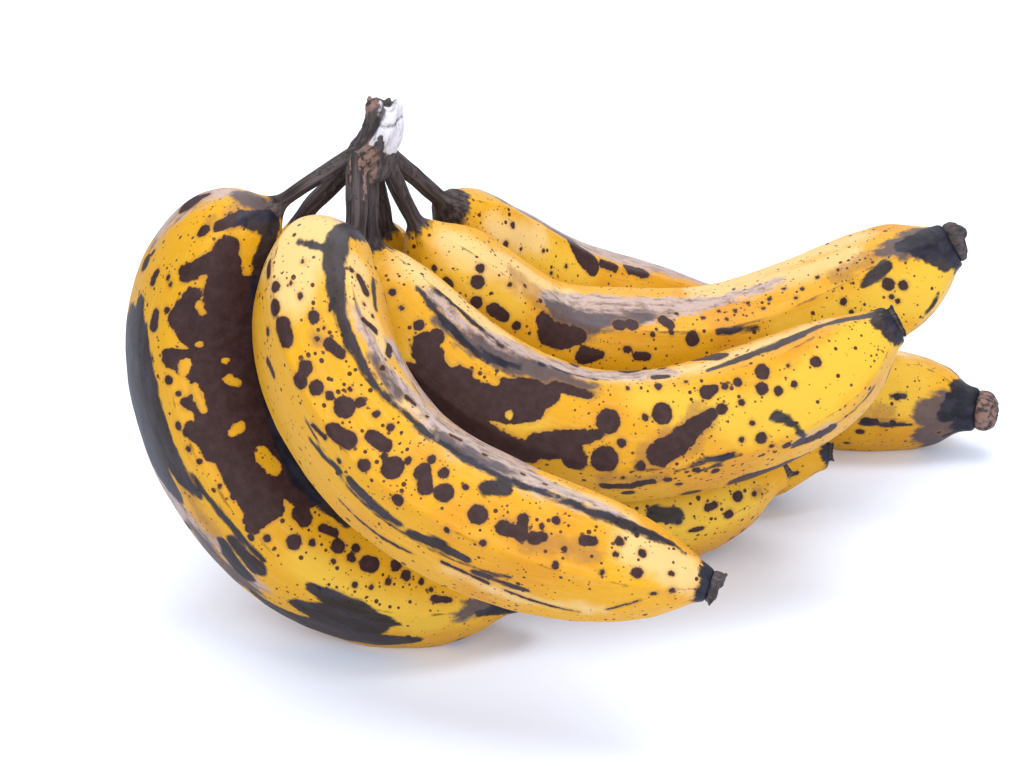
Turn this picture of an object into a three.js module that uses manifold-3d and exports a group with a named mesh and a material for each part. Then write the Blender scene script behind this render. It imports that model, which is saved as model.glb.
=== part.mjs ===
// A hand of seven bananas, all millimetres, +Z up, lying on the plane Z = 0.
// Every finger is one solid: its dried neck, the fruit and the blossom end grew as one piece.
// The seven necks meet in the crown, the dried cushion where the hand was cut from its stalk.
// The frame's origin is the middle of the hand's own box, on the plane that it rests on.
import * as THREE from 'three';
import { mergeVertices } from 'three/addons/utils/BufferGeometryUtils.js';
import Module from 'manifold-3d';

// ---- driving dimensions ----
const ROOT_FLARE = 0.2;         // how much thicker a neck is where it runs into the crown
const RIDGE_COUNT = 5;          // a banana is five-sided
const RIDGE_RISE = 0.035;       // how far a ridge stands out, as a share of the radius
const SECTORS = 20;             // four to each side of the section
const CROWN_SECTORS = 16;
const CONTACT_GAP = 0.4;        // between the crown and every neck
const TABLE_SIZE = 600;         // the solid that presses the bellies flat at Z = 0

// How the shoulder swells: [distance past the neck, share of the full radius].
const SHOULDER = [[0, 0.16], [4, 0.34], [9, 0.56], [16, 0.76], [28, 0.91], [45, 0.98], [65, 1]];
// How the blossom end narrows: [distance before the tip, share of the full radius].
const BLOSSOM = [[0, 0.16], [6, 0.35], [12, 0.52], [20, 0.69], [32, 0.85], [48, 0.95], [68, 1]];

// The fingers. A route is the centre line, from inside the crown to the blossom end, and its
// second point is where the neck ends. Neck is half the width of the dried neck and roll turns
// the ridges about the route. A small slow makes a full shoulder and a large one a shrunken
// shoulder. A small blunt makes a short blossom end, and stub is half the width it ends in.
const FINGERS = [
  { name: 'banana_1', skin: 0xd98a2b,  // lower row, front
    radius: 19.0, neck: 1.8, roll: 10, slow: 0.7, blunt: 1.0, stub: 5.5,
    route: [[-44.5, -4.5, 125], [-64, -17, 115.8], [-78, -21.5, 104], [-86.5, -26.5, 80], [-79.5, -37, 52],
      [-59, -46, 27.8], [-34, -50, 15.9], [4, -54, 15.5]] },
  { name: 'banana_2', skin: 0xe8b43c,  // upper row, front
    radius: 18.7, neck: 2.5, roll: 40, slow: 0.7, blunt: 0.9, stub: 4.3,
    route: [[-42.5, -8, 122], [-43, -23, 108.5], [-50, -36, 104.5], [-50, -52, 95],
      [-43.5, -65, 81], [-28, -77, 65.2], [-3, -88, 54.8], [26, -96, 49.2], [51, -101, 44.8]] },
  { name: 'banana_3', skin: 0xe9bd3e,  // upper row, middle
    radius: 18.5, neck: 2.2, roll: 0, slow: 0.9, blunt: 0.7, stub: 6.0,
    route: [[-39.5, -3.5, 121], [-38.3, -12.5, 102], [-28.5, -19, 81.5], [-7, -25, 62.8], [22, -27, 52],
      [53, -24, 53], [85, -17, 63.5], [108, -10, 78]] },
  { name: 'banana_4', skin: 0xe6a535,  // upper row, back
    radius: 18.2, neck: 2.0, roll: 20, slow: 1.0, blunt: 0.5, stub: 7.2,
    route: [[-34.5, 1.5, 120.5], [-27, 10, 99.5], [-18, 13, 84.5], [8, 20, 59], [32, 22.5, 54.2],
      [59, 26, 53.5], [84, 29, 59.6], [112, 32.2, 72.2], [131, 33.5, 85]] },
  { name: 'banana_5', skin: 0xe8c04a,  // lower row, far back
    radius: 17.5, neck: 2.1, roll: 15, slow: 1.5, blunt: 0.62, stub: 7.0,
    route: [[-34.5, 8.5, 121], [-21, 32, 99], [-3, 53, 73.4], [19, 62.5, 55.4], [42, 68.5, 45.4],
      [62, 73.5, 35.4], [84, 75, 22.8], [108, 73.5, 15.6], [130, 70, 15.4], [149.5, 62.5, 15.6]] },
  { name: 'banana_6', skin: 0xe3a032,  // lower row, middle
    radius: 18.0, neck: 2.1, roll: 30, slow: 1.0, blunt: 0.75, stub: 5.5,
    route: [[-46, 1, 119], [-60.4, 6.2, 100.6], [-57.5, 6.5, 81], [-45, 1, 50], [-20, -4, 26.5],
      [14, -6, 17.6], [48, -6, 19], [80, 0, 26.5]] },
  { name: 'banana_7', skin: 0xd99a30,  // lower row, back
    radius: 17.2, neck: 1.9, roll: 5, slow: 1.0, blunt: 0.7, stub: 5.5,
    route: [[-38.5, 7, 116], [-37, 22, 94], [-40, 34, 73], [-24, 36.5, 44], [4, 34, 23],
      [36, 32.5, 16.3], [66, 29.5, 16.4], [97, 24.5, 20]] },
];

// The crown's outline: [height, centre X, centre Y, half width along X, half width along Y].
const CROWN = [
  [115.5, -40, 1, 4.0, 6.5], [118, -40, 1, 6.2, 9.5], [122, -39.6, 0.8, 7.3, 10.8],
  [126, -39.2, 0.4, 7.1, 10.4], [130, -37, 0, 6.1, 8.8], [134, -35.4, 0, 5.1, 7.4],
  [138, -35, 0, 4.6, 6.5], [141, -35.2, 0, 4.1, 5.7],
];
const CROWN_LUMPS = 0.06;       // how uneven the dried cushion's sides are

const wasm = await Module();
wasm.setup();

// ---- solids and meshes ----
function solidFrom(geometry) {
  geometry.deleteAttribute('normal');
  geometry.deleteAttribute('uv');
  const merged = mergeVertices(geometry, 1e-4);
  const corners = merged.index.array;
  const faces = [];
  for (let i = 0; i < corners.length; i += 3) {
    const [a, b, c] = [corners[i], corners[i + 1], corners[i + 2]];
    if (a !== b && b !== c && c !== a) faces.push(a, b, c);
  }
  const vertProperties = new Float32Array(merged.attributes.position.array);
  const triVerts = new Uint32Array(faces);
  return new wasm.Manifold(new wasm.Mesh({ numProp: 3, vertProperties, triVerts }));
}

function meshFrom(name, solid, look) {
  const { vertProperties, triVerts } = solid.getMesh();
  const geometry = new THREE.BufferGeometry();
  geometry.setAttribute('position', new THREE.BufferAttribute(vertProperties, 3));
  geometry.setIndex(new THREE.BufferAttribute(triVerts, 1));
  geometry.computeVertexNormals();
  const mesh = new THREE.Mesh(geometry, new THREE.MeshStandardMaterial(look));
  mesh.name = name;
  return mesh;
}

function shareAt(table, distance) {
  const last = table.length - 1;
  if (distance >= table[last][0]) return table[last][1];
  const next = table.findIndex(([reach]) => reach > distance);
  const [x0, y0] = table[next - 1];
  const [x1, y1] = table[next];
  return y0 + (y1 - y0) * (distance - x0) / (x1 - x0);
}

// ---- one finger ----
// Where the rings stand: a few along the neck, close together on the shoulder and the blossom end.
function ringPlaces(neck, length) {
  const places = [0, neck * 0.35, neck * 0.7, neck];
  const shoulder = [2.5, 5.5, 10, 16, 24, 33];
  const blossom = [30, 22, 15, 10, 6, 2.5, 0];
  const fruitStart = neck + shoulder[shoulder.length - 1];
  const fruitEnd = length - blossom[0];
  const spans = Math.round((fruitEnd - fruitStart) / 11);
  for (const step of shoulder) places.push(neck + step);
  for (let i = 1; i < spans; i += 1) places.push(fruitStart + (fruitEnd - fruitStart) * i / spans);
  for (const step of blossom) places.push(length - step);
  return places;
}

function radiusAt(finger, neck, length, along) {
  const flare = 1 + ROOT_FLARE * Math.max(0, 1 - 2 * along / neck);
  if (along <= neck) return finger.neck * flare;
  const swell = shareAt(SHOULDER, (along - neck) / finger.slow);
  const narrow = shareAt(BLOSSOM, (length - along) / finger.blunt);
  const radius = Math.max(finger.neck, finger.radius * Math.min(swell, narrow));
  return along > length / 2 ? Math.max(finger.stub, radius) : radius;
}

// A straight body of revolution along Y, from the neck's root to the blossom end.
function straightFinger(finger, neck, length) {
  const outline = ringPlaces(neck, length).map(
    (along) => new THREE.Vector2(radiusAt(finger, neck, length, along), along));
  outline.unshift(new THREE.Vector2(0, 0));
  outline.push(new THREE.Vector2(0, length));
  return new THREE.LatheGeometry(outline, SECTORS);
}

// The five ridges, full on the fruit and fading out on the neck and the blossom end.
function addRidges(geometry, finger, neck, length) {
  const place = geometry.attributes.position;
  for (let i = 0; i < place.count; i += 1) {
    const [x, along, z] = [place.getX(i), place.getY(i), place.getZ(i)];
    const fade = THREE.MathUtils.smoothstep(along, neck, neck + 20)
      * (1 - THREE.MathUtils.smoothstep(along, length - 16, length));
    const turn = RIDGE_COUNT * (Math.atan2(z, x) - THREE.MathUtils.degToRad(finger.roll));
    const grow = 1 + RIDGE_RISE * fade * Math.cos(turn);
    place.setXYZ(i, x * grow, along, z * grow);
  }
}

// Carries the straight body over to the route, each ring square to the centre line.
function bendAlong(geometry, curve, length) {
  const steps = 400;
  const frames = curve.computeFrenetFrames(steps);
  const place = geometry.attributes.position;
  const centre = new THREE.Vector3();
  for (let i = 0; i < place.count; i += 1) {
    const share = THREE.MathUtils.clamp(place.getY(i) / length, 0, 1);
    const step = Math.round(share * steps);
    const normal = frames.normals[step];
    const side = new THREE.Vector3().crossVectors(normal, frames.tangents[step]);
    curve.getPointAt(step / steps, centre);
    centre.addScaledVector(normal, place.getX(i)).addScaledVector(side, place.getZ(i));
    place.setXYZ(i, centre.x, centre.y, centre.z);
  }
}

function makeFinger(finger, crownSpace, table) {
  const points = finger.route.map(([x, y, z]) => new THREE.Vector3(x, y, z));
  const curve = new THREE.CatmullRomCurve3(points, false, 'centripetal');
  curve.arcLengthDivisions = 800;
  const length = curve.getLength();
  const neck = points[0].distanceTo(points[1]);
  const geometry = straightFinger(finger, neck, length);
  addRidges(geometry, finger, neck, length);
  bendAlong(geometry, curve, length);
  return solidFrom(geometry).subtract(crownSpace).subtract(table);
}

// ---- the crown ----
function makeCrown(grow) {
  const outline = CROWN.map(([height]) => new THREE.Vector2(1, height));
  outline.unshift(new THREE.Vector2(0, CROWN[0][0]));
  outline.push(new THREE.Vector2(0, CROWN[CROWN.length - 1][0]));
  const geometry = new THREE.LatheGeometry(outline, CROWN_SECTORS);
  const place = geometry.attributes.position;
  const lowest = CROWN[0][0];
  const middle = (lowest + CROWN[CROWN.length - 1][0]) / 2;
  for (let i = 0; i < place.count; i += 1) {
    const height = place.getY(i);
    const [, centreX, centreY, halfX, halfY] = CROWN.find(([level]) => Math.abs(level - height) < 0.01);
    const turn = Math.atan2(place.getZ(i), place.getX(i));
    const lump = 1 + CROWN_LUMPS * Math.sin(3 * turn + height * 0.4);
    place.setXYZ(i,
      centreX + place.getX(i) * (halfX * lump + grow),
      centreY - place.getZ(i) * (halfY * lump + grow),
      height + Math.sign(height - middle) * grow);
  }
  return solidFrom(geometry);
}

// ---- the hand ----
const crown = makeCrown(0);
const crownSpace = makeCrown(CONTACT_GAP);
const table = solidFrom(new THREE.BoxGeometry(TABLE_SIZE, TABLE_SIZE, TABLE_SIZE)
  .translate(0, 0, -TABLE_SIZE / 2));

const hand = new THREE.Group();
hand.add(meshFrom('crown', crown, { color: 0x5a4a42, roughness: 0.9, metalness: 0 }));
for (const finger of FINGERS) {
  const solid = makeFinger(finger, crownSpace, table);
  hand.add(meshFrom(finger.name, solid, { color: finger.skin, roughness: 0.5, metalness: 0 }));
}

// The origin goes to the middle of the hand's box, on the plane that it rests on.
const box = new THREE.Box3().setFromObject(hand);
const middle = box.getCenter(new THREE.Vector3());
hand.position.set(-middle.x, -middle.y, -box.min.z);
hand.updateMatrixWorld(true);

export default hand;
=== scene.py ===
"""A hand of seven ripe bananas on a withered crown, laid out as a Blender add-on."""

import math
from collections import namedtuple

import bmesh
import bpy
import numpy as np
from bpy.props import FloatProperty, FloatVectorProperty, PointerProperty
from bpy.types import Operator, Panel, PropertyGroup
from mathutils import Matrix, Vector


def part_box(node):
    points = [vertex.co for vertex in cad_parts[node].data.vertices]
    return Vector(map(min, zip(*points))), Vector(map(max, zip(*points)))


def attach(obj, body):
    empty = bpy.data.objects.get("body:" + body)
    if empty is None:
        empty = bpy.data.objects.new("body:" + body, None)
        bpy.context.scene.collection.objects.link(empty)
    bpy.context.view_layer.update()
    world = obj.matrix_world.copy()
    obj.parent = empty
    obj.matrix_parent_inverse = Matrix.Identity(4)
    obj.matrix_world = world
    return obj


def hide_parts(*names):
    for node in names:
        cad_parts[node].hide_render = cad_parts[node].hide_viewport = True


bl_info = {
    "name": "Hand of Bananas",
    "version": (1, 0, 0),
    "blender": (4, 5, 0),
    "location": "View3D > Sidebar > Bananas",
    "description": "Adds the fingers, blossom ends and crown of a ripe hand of bananas",
    "category": "Add Mesh",
}

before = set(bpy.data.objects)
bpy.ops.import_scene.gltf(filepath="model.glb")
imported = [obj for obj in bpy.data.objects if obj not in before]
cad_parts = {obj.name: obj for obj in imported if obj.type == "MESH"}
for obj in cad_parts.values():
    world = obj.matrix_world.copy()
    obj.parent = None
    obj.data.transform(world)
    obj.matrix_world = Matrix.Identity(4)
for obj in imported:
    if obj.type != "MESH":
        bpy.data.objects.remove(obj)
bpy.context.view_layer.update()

MM = 0.001

# ---- the fingers ----
RIDGES = 5                      # a banana is five-sided
SECTION_POINTS = 44             # around one ring, before it is subdivided
RING_STEP = 3.1 * MM            # between the rings of a straight finger
SUBDIVISIONS = 2
ROOT_REACH = 0.62               # how far a neck runs on into the crown, 1 being right to its axis
ROOT_SWELL = 1.08               # how much thicker it is in there
FAN_EDGES = 16                  # at least so many edges meet in the middle of a CAD blossom end
NECK_LIMIT = 2.6 * MM           # a finger is neck where it is thinner than this
ROUTE_POINTS = 200              # along the smooth curve that a finger is bent on
SIDEDNESS = 0.62                # 0 is a round section and 1 a five-sided one
FLAT_MEAN = 0.925               # a five-sided section's inner radius, against its mean one
RIDGE_ROUND = 0.10              # how blunt a ridge is, in radians
RIDGE_STRAY = 0.10              # how far a ridge may stand from its even place
RIDGE_WAVER = 0.05              # how far it wavers from side to side, in radians
RIDGE_WAVE = 21 * MM            # length of that wave, over 2 pi
WELT_HEIGHT = 0.35 * MM         # the raised line along a ridge
WELT_WIDTH = 1.1 * MM
NECK_TWIST = 14 * MM            # over this length the flutes of a neck turn by a radian
NECK_SWELL = 0.1                # how much thicker than the CAD's a dry neck is
RING_SHARE = (0.6, 1.2)         # points in a whole CAD ring, against those of the first one
WELD = 0.002 * MM               # points of a CAD solid closer than this are one
PRESSED = 0.01 * MM             # lower than this a CAD finger is pressed flat
SHOULDER = 20 * MM              # over this length a neck takes on five sides
ROUND_END = (14 * MM, 3 * MM)   # between these places before its end a finger loses them
DRY_NECK = (-2 * MM, 9 * MM)    # between these places past its neck a finger loses its flutes
NECK_FLUTES = (0.10, 0.06)      # depths of the wide and narrow ones, against the thickness

# ---- marks, stubs and crown ----
SPOT_SIZES = (0.6, 0.6, 0.8, 0.8, 1.0, 1.0, 1.3, 1.6, 2.0, 2.6)     # radii in mm
CHANCE_SPOTS = 150
CHANCE_BLOTCHES = 9
BLOTCH_SIZES = (2.2, 5.0)       # a chance blotch: its radii in mm and, for each further disc,
BLOTCH_LINKS = (1, 4)           # at least how many, and less than how many
BLOTCH_STEP = (2, 7)            # mm along
BLOTCH_SWING = (-22, 22)        # degrees round
BLOTCH_TAPER = (0.5, 1.1)       # share of the first radius
HIDDEN_SHOULDERS = ("banana_6", "banana_7")     # only the marks near their blossom ends are listed,
HIDDEN_LENGTH = 140             # so for this length, in mm, they are spotted at random all round
CLEAR_ENDS = (4, 8)             # mm at the neck and the blossom end with no chance marks
LEAST_GIRTH = 4.0               # mm, the least radius that degrees are measured on
FRESHNESS = {"peel_brown_ripe": 0.3, "peel_spotted": 0.6, "peel_pale": 0.8}
# Flecks of three sizes: how many a mm, size, largest share that shows, strength.
FLECKS = ((0.9, 0.27, 0.5, 0.8), (0.5, 0.25, 0.85, 0.9), (0.28, 0.22, 0.8, 1.0))
SPECKLE = (0.42, 0.30, 0.8)     # the same for the thickly flecked places, at full strength
LEAST_FLECK = 0.45              # the smallest one, against the largest of its sort
FLECK_SOFT = (-0.03, 0.05)
NOISE_SPREAD = 4.0              # noise keeps within about a quarter of its middle
# Each kind of mark: how far its edge strays in mm, the grain of that per mm, its softness in mm, and the
# share of that grain along the peel: less than 1 is drawn out.
EDGES = {
    # Lemon marks are partly brighter peel and partly painted light on shaded undersides.
    "lemon": (2.0, 0.12, 4.0, 1),
    # Pale marks are partly cream peel and partly painted highlight on upward faces and shoulders.
    "pale": (2.0, 0.15, 3.0, 1),
    "tan": (2.0, 0.25, 1.6, 1),
    "speckle": (2.0, 0.12, 3.0, 1),
    "ridge": (0.9, 0.35, 0.35, 0.25),
    "mauve": (2.6, 0.4, 1.6, 0.3),
    # Dusk marks are partly peel darkened to brownish mauve and partly painted shade in creases and under
    # other fingers.
    "dusk": (1.8, 0.4, 1.4, 0.4),
    "halo": (0.3, 0.6, 0.6, 1),
    "spot": (0.3, 0.6, 0.2, 1),
    "blotch": (0.75, 0.32, 0.24, 1),
    "black": (0.75, 0.5, 0.5, 0.35),
    "cap": (1.5, 0.4, 0.8, 0.35),
    "bark": (1.6, 0.45, 0.9, 0.35),
    "scar": (1.0, 0.5, 0.6, 1),
    "paper": (0.9, 0.4, 0.3, 1),
    "groove": (0.4, 0.6, 0.5, 1),
}
FIBRE_DRAWN = 0.07              # that share for fibres, for smudges and for the greyed part of black skin
SMUDGE_DRAWN = 0.4
SLATE_DRAWN = 0.35
CLOUD_GRAIN = 0.035             # per mm: the broad change from yellow to orange,
CROWD_GRAIN = 0.06              # the crowds of flecks,
MOTTLE_GRAIN = 0.35             # the unevenness of every colour
SMUDGE_GRAIN = 0.45             # and the smudges in a mauve band
BROWN_ROUGHNESS = 0.52
BLACK_ROUGHNESS = 0.44
BARK_ROUGHNESS = 0.78
PORE_HEIGHT = 0.10              # shading relief in mm: of pores, fibres, spots and dried bark
FIBRE_HEIGHT = 0.12
BROWN_SINK = 0.07
BARK_HEIGHT = 0.9
FAR = 99.0                      # mm, further than any edge strays
HALO = 0.5                      # how far the tan edge of a spot reaches, in mm
RIDGE_LINE = -0.1               # mm either side of a ridge; below 0 its brown line breaks up
DIMPLE_DEPTH = 0.7 * MM
DIMPLE_GRAIN = 16 * MM
BARK_DEPTH = 0.8 * MM
BARK_GRAIN = 1.6 * MM
STUB_ROUGHNESS = 0.7 * MM
STUB_POINTS = 26
STUB_DEPTH = 1.2 * MM           # how deep a stub starts inside the finger
STUB_SEEDS = 100                # added to a finger's seed for its stub
STUB_FADE = 1 * MM              # how far before the finger's end it starts to be uneven
STUB_STRAY = 0.05               # how far its points stray, against half its width
STUB_SWING = 0.05               # how much its width swings round its line
PALE_STUB = -0.15               # how deep in a scar, in mm, all of a pale finger's stub lies
# A blossom end's rings: share of its length, share of its width.
HOLLOW_END = ((0, 0.86), (0.05, 0.98), (0.3, 0.92), (0.62, 0.93), (0.9, 1.06), (1.0, 0.98), (0.92, 0.74),
              (0.55, 0.52), (0.45, 0.22), (0.8, 0.14))
DOMED_END = ((0, 0.94), (0.08, 1.0), (0.3, 1.0), (0.5, 0.95), (0.68, 0.85), (0.82, 0.7), (0.93, 0.5),
             (0.98, 0.3), (1.0, 0.15))
FRAY = 0.10                     # how uneven the rim of a blossom end is, against its length
TUFT_TURN = 160                 # where round its rim a blossom end keeps a withered tuft, in degrees
TUFT_WIDTH = 0.35               # in radians
CROWN_POINTS = 40
CROWN_RINGS = 20
CROWN_SEED = 31
CROWN_DROP = 1.8 * MM           # the torn top's mean height below the CAD crown's
CROWN_WAIST = 0.7 * MM          # how much the stump's left side is drawn in
WAIST_RISE = 9.0 * MM           # at this height above its underside
WAIST_WIDTH = 4.0 * MM
CROWN_LIFT = 3.0 * MM           # how far above the CAD crown's underside the stump starts
COLLAR_LENGTH = 3.0 * MM        # how far the crown's bark runs out along a neck
COLLAR_RIM = 0.2 * MM           # how far it stands off the neck at its outer end
COLLAR_SWELL = 1.15             # how much thicker than the neck it is in the crown
COLLAR_POINTS = 20
VOXEL = 0.42 * MM               # the grain in which the stump and its collars are melted together
MELT_ROUNDS = 3                 # how often the seams are smoothed
LOBE = (-2.4, -2.5, 23.4)       # the torn lobe's place: mm from the top's middle, mm above the underside
LOBE_SIZE = (2.6, 2.6, 2.5)     # radii in mm
CROWN_HOLLOW = ((0.2 * MM, 0.82), (1.4 * MM, 0.8), (0.5 * MM, 0.5), (-1.0 * MM, 0.35))     # depth, shrink
# The crown's flutes: depth against its width, how many go round, lean in radians per mm of height.
CROWN_FLUTES = ((0.08, 5, 0.3), (0.05, 8, 0.5), (0.03, 14, 0.8))
TORN_LENGTH = 7 * MM            # the torn top: how far down it reaches, how uneven its rim is
TORN_DEPTH = 0.55 * MM
SPUR_TURN = -165                # where round the crown the rim has a spur, in degrees
SPUR_WIDTH = 0.5                # in radians
SPUR_HEIGHT = 2.6 * MM
CROWN_CEILING = 1.5 * MM        # how far the spur may stand above the CAD crown
LEAST_CROWN = 2.0               # mm, the least radius that degrees are measured on
PAPER_LIFT = 0.5 * MM           # how far the bleached skin stands off the bark
PAPER_EDGE = (0, 0.8)           # mm inside its edge, between which it lifts
PAPER_SMOOTH = 0.7              # how much smoother than the bark it is
GROOVE_DEPTH = 0.5 * MM
GROOVE_EDGE = (-0.8, 0.4)
# Marks on the crown: chains of discs (mm above its underside, degrees round, radius in mm).
CROWN_MARKS = {
    "paper": (
        ((24.5, -65, 2.6), (20, -62, 4.4), (15, -50, 4.2), (11.5, -35, 1.8)), ((23, -20, 4), (15, -10, 4)),
        ((15.5, -104, 0.6), (19, -92, 1), (23.5, -80, 1.4)),
    ),
    "scar": (((13, -108, 3), (9, -100, 3.8), (5, -92, 2.6)), ((25, -150, 3.4), (22, -165, 2))),
    "groove": (
        ((25, -80, 0.7), (21, -100, 1), (16, -118, 1.1), (12, -132, 0.9)),
        ((19.5, -92, 0.2), (19.5, -60, 0.45), (20.5, -15, 0.2)),
    ),
}

# ---- the stage ----
FLOOR_SIZE = 8.0
CAMERA_AIM = (-0.0232, 0.0092, 0.054)
CAMERA_DISTANCE = 0.7
LENS = 85                       # focal length and sensor width in mm
SENSOR = 36
LIGHTS = (      # name, watts, size, place, aim, colour
    ("key", 7.5, 1.2, (-0.10, -0.85, 0.95), (0, 0, 0.05), (1, 0.985, 0.96)),
    ("overhead", 7.5, 0.7, (0.05, 0.08, 1.10), (0, 0, 0.03), (1, 1, 1)),
    ("right_fill", 1.6, 0.7, (0.80, -0.45, 0.35), (0.06, 0, 0.04), (1, 1, 1)),
    ("front_fill", 4.0, 1.0, (0.10, -1.00, 0.16), (0.03, 0, 0.05), (1, 1, 1)),
    ("backdrop", 20.0, 2.0, (0.0, 2.0, 1.3), (0, 1.6, 0), (1, 1, 1)),
)

# ---- the seven fingers ----
Finger = namedtuple("Finger", "node slot roll turn seed bark cap stub front")
Stub = namedtuple("Stub", "width length tuft black rings")
# Roll is where the first ridge stands and turn is how far the whole finger is turned on its line,
# in degrees. Bark and cap are how far the dried neck and the black tip reach, in mm. Stub is the blossom
# end: its width, its length and its withered tuft's, in mm, the black share of its width and its rings.
# Front is the middle and half width, in degrees, of the side whose marks are listed below; the rest of a
# finger is spotted at random.
FINGERS = (
    Finger("banana_1", "peel_brown_ripe", 47, 0, 11, 1, 5, Stub(9, 2.5, 0.6, 0.56, HOLLOW_END), (20, 82)),
    Finger("banana_2", "peel_spotted", -12, 0, 12, 2.5, 4, Stub(8.4, 1.8, 0.8, 0.7, HOLLOW_END), (105, 100)),
    Finger("banana_3", "peel_spotted", 55, -16, 13, 2, 3, Stub(9, 0.9, 0.4, 0.35, HOLLOW_END), (105, 82)),
    Finger("banana_4", "peel_spotted", 30, -4, 14, 1, 4, Stub(12.4, 3.4, 2.8, 0.62, DOMED_END), (185, 97)),
    Finger("banana_5", "peel_pale", 3, 0, 15, 7, 7, Stub(13, 5.8, 0.5, 0.2, DOMED_END), (165, 80)),
    Finger("banana_6", "peel_spotted", -12, 0, 16, 1, 0, Stub(6, 1, 0.3, 0.56, HOLLOW_END), (-20, 60)),
    Finger("banana_7", "peel_spotted", 20, -2, 17, 1, 1.5, Stub(6, 1, 0.3, 0.56, HOLLOW_END), (-80, 60)),
)

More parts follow.
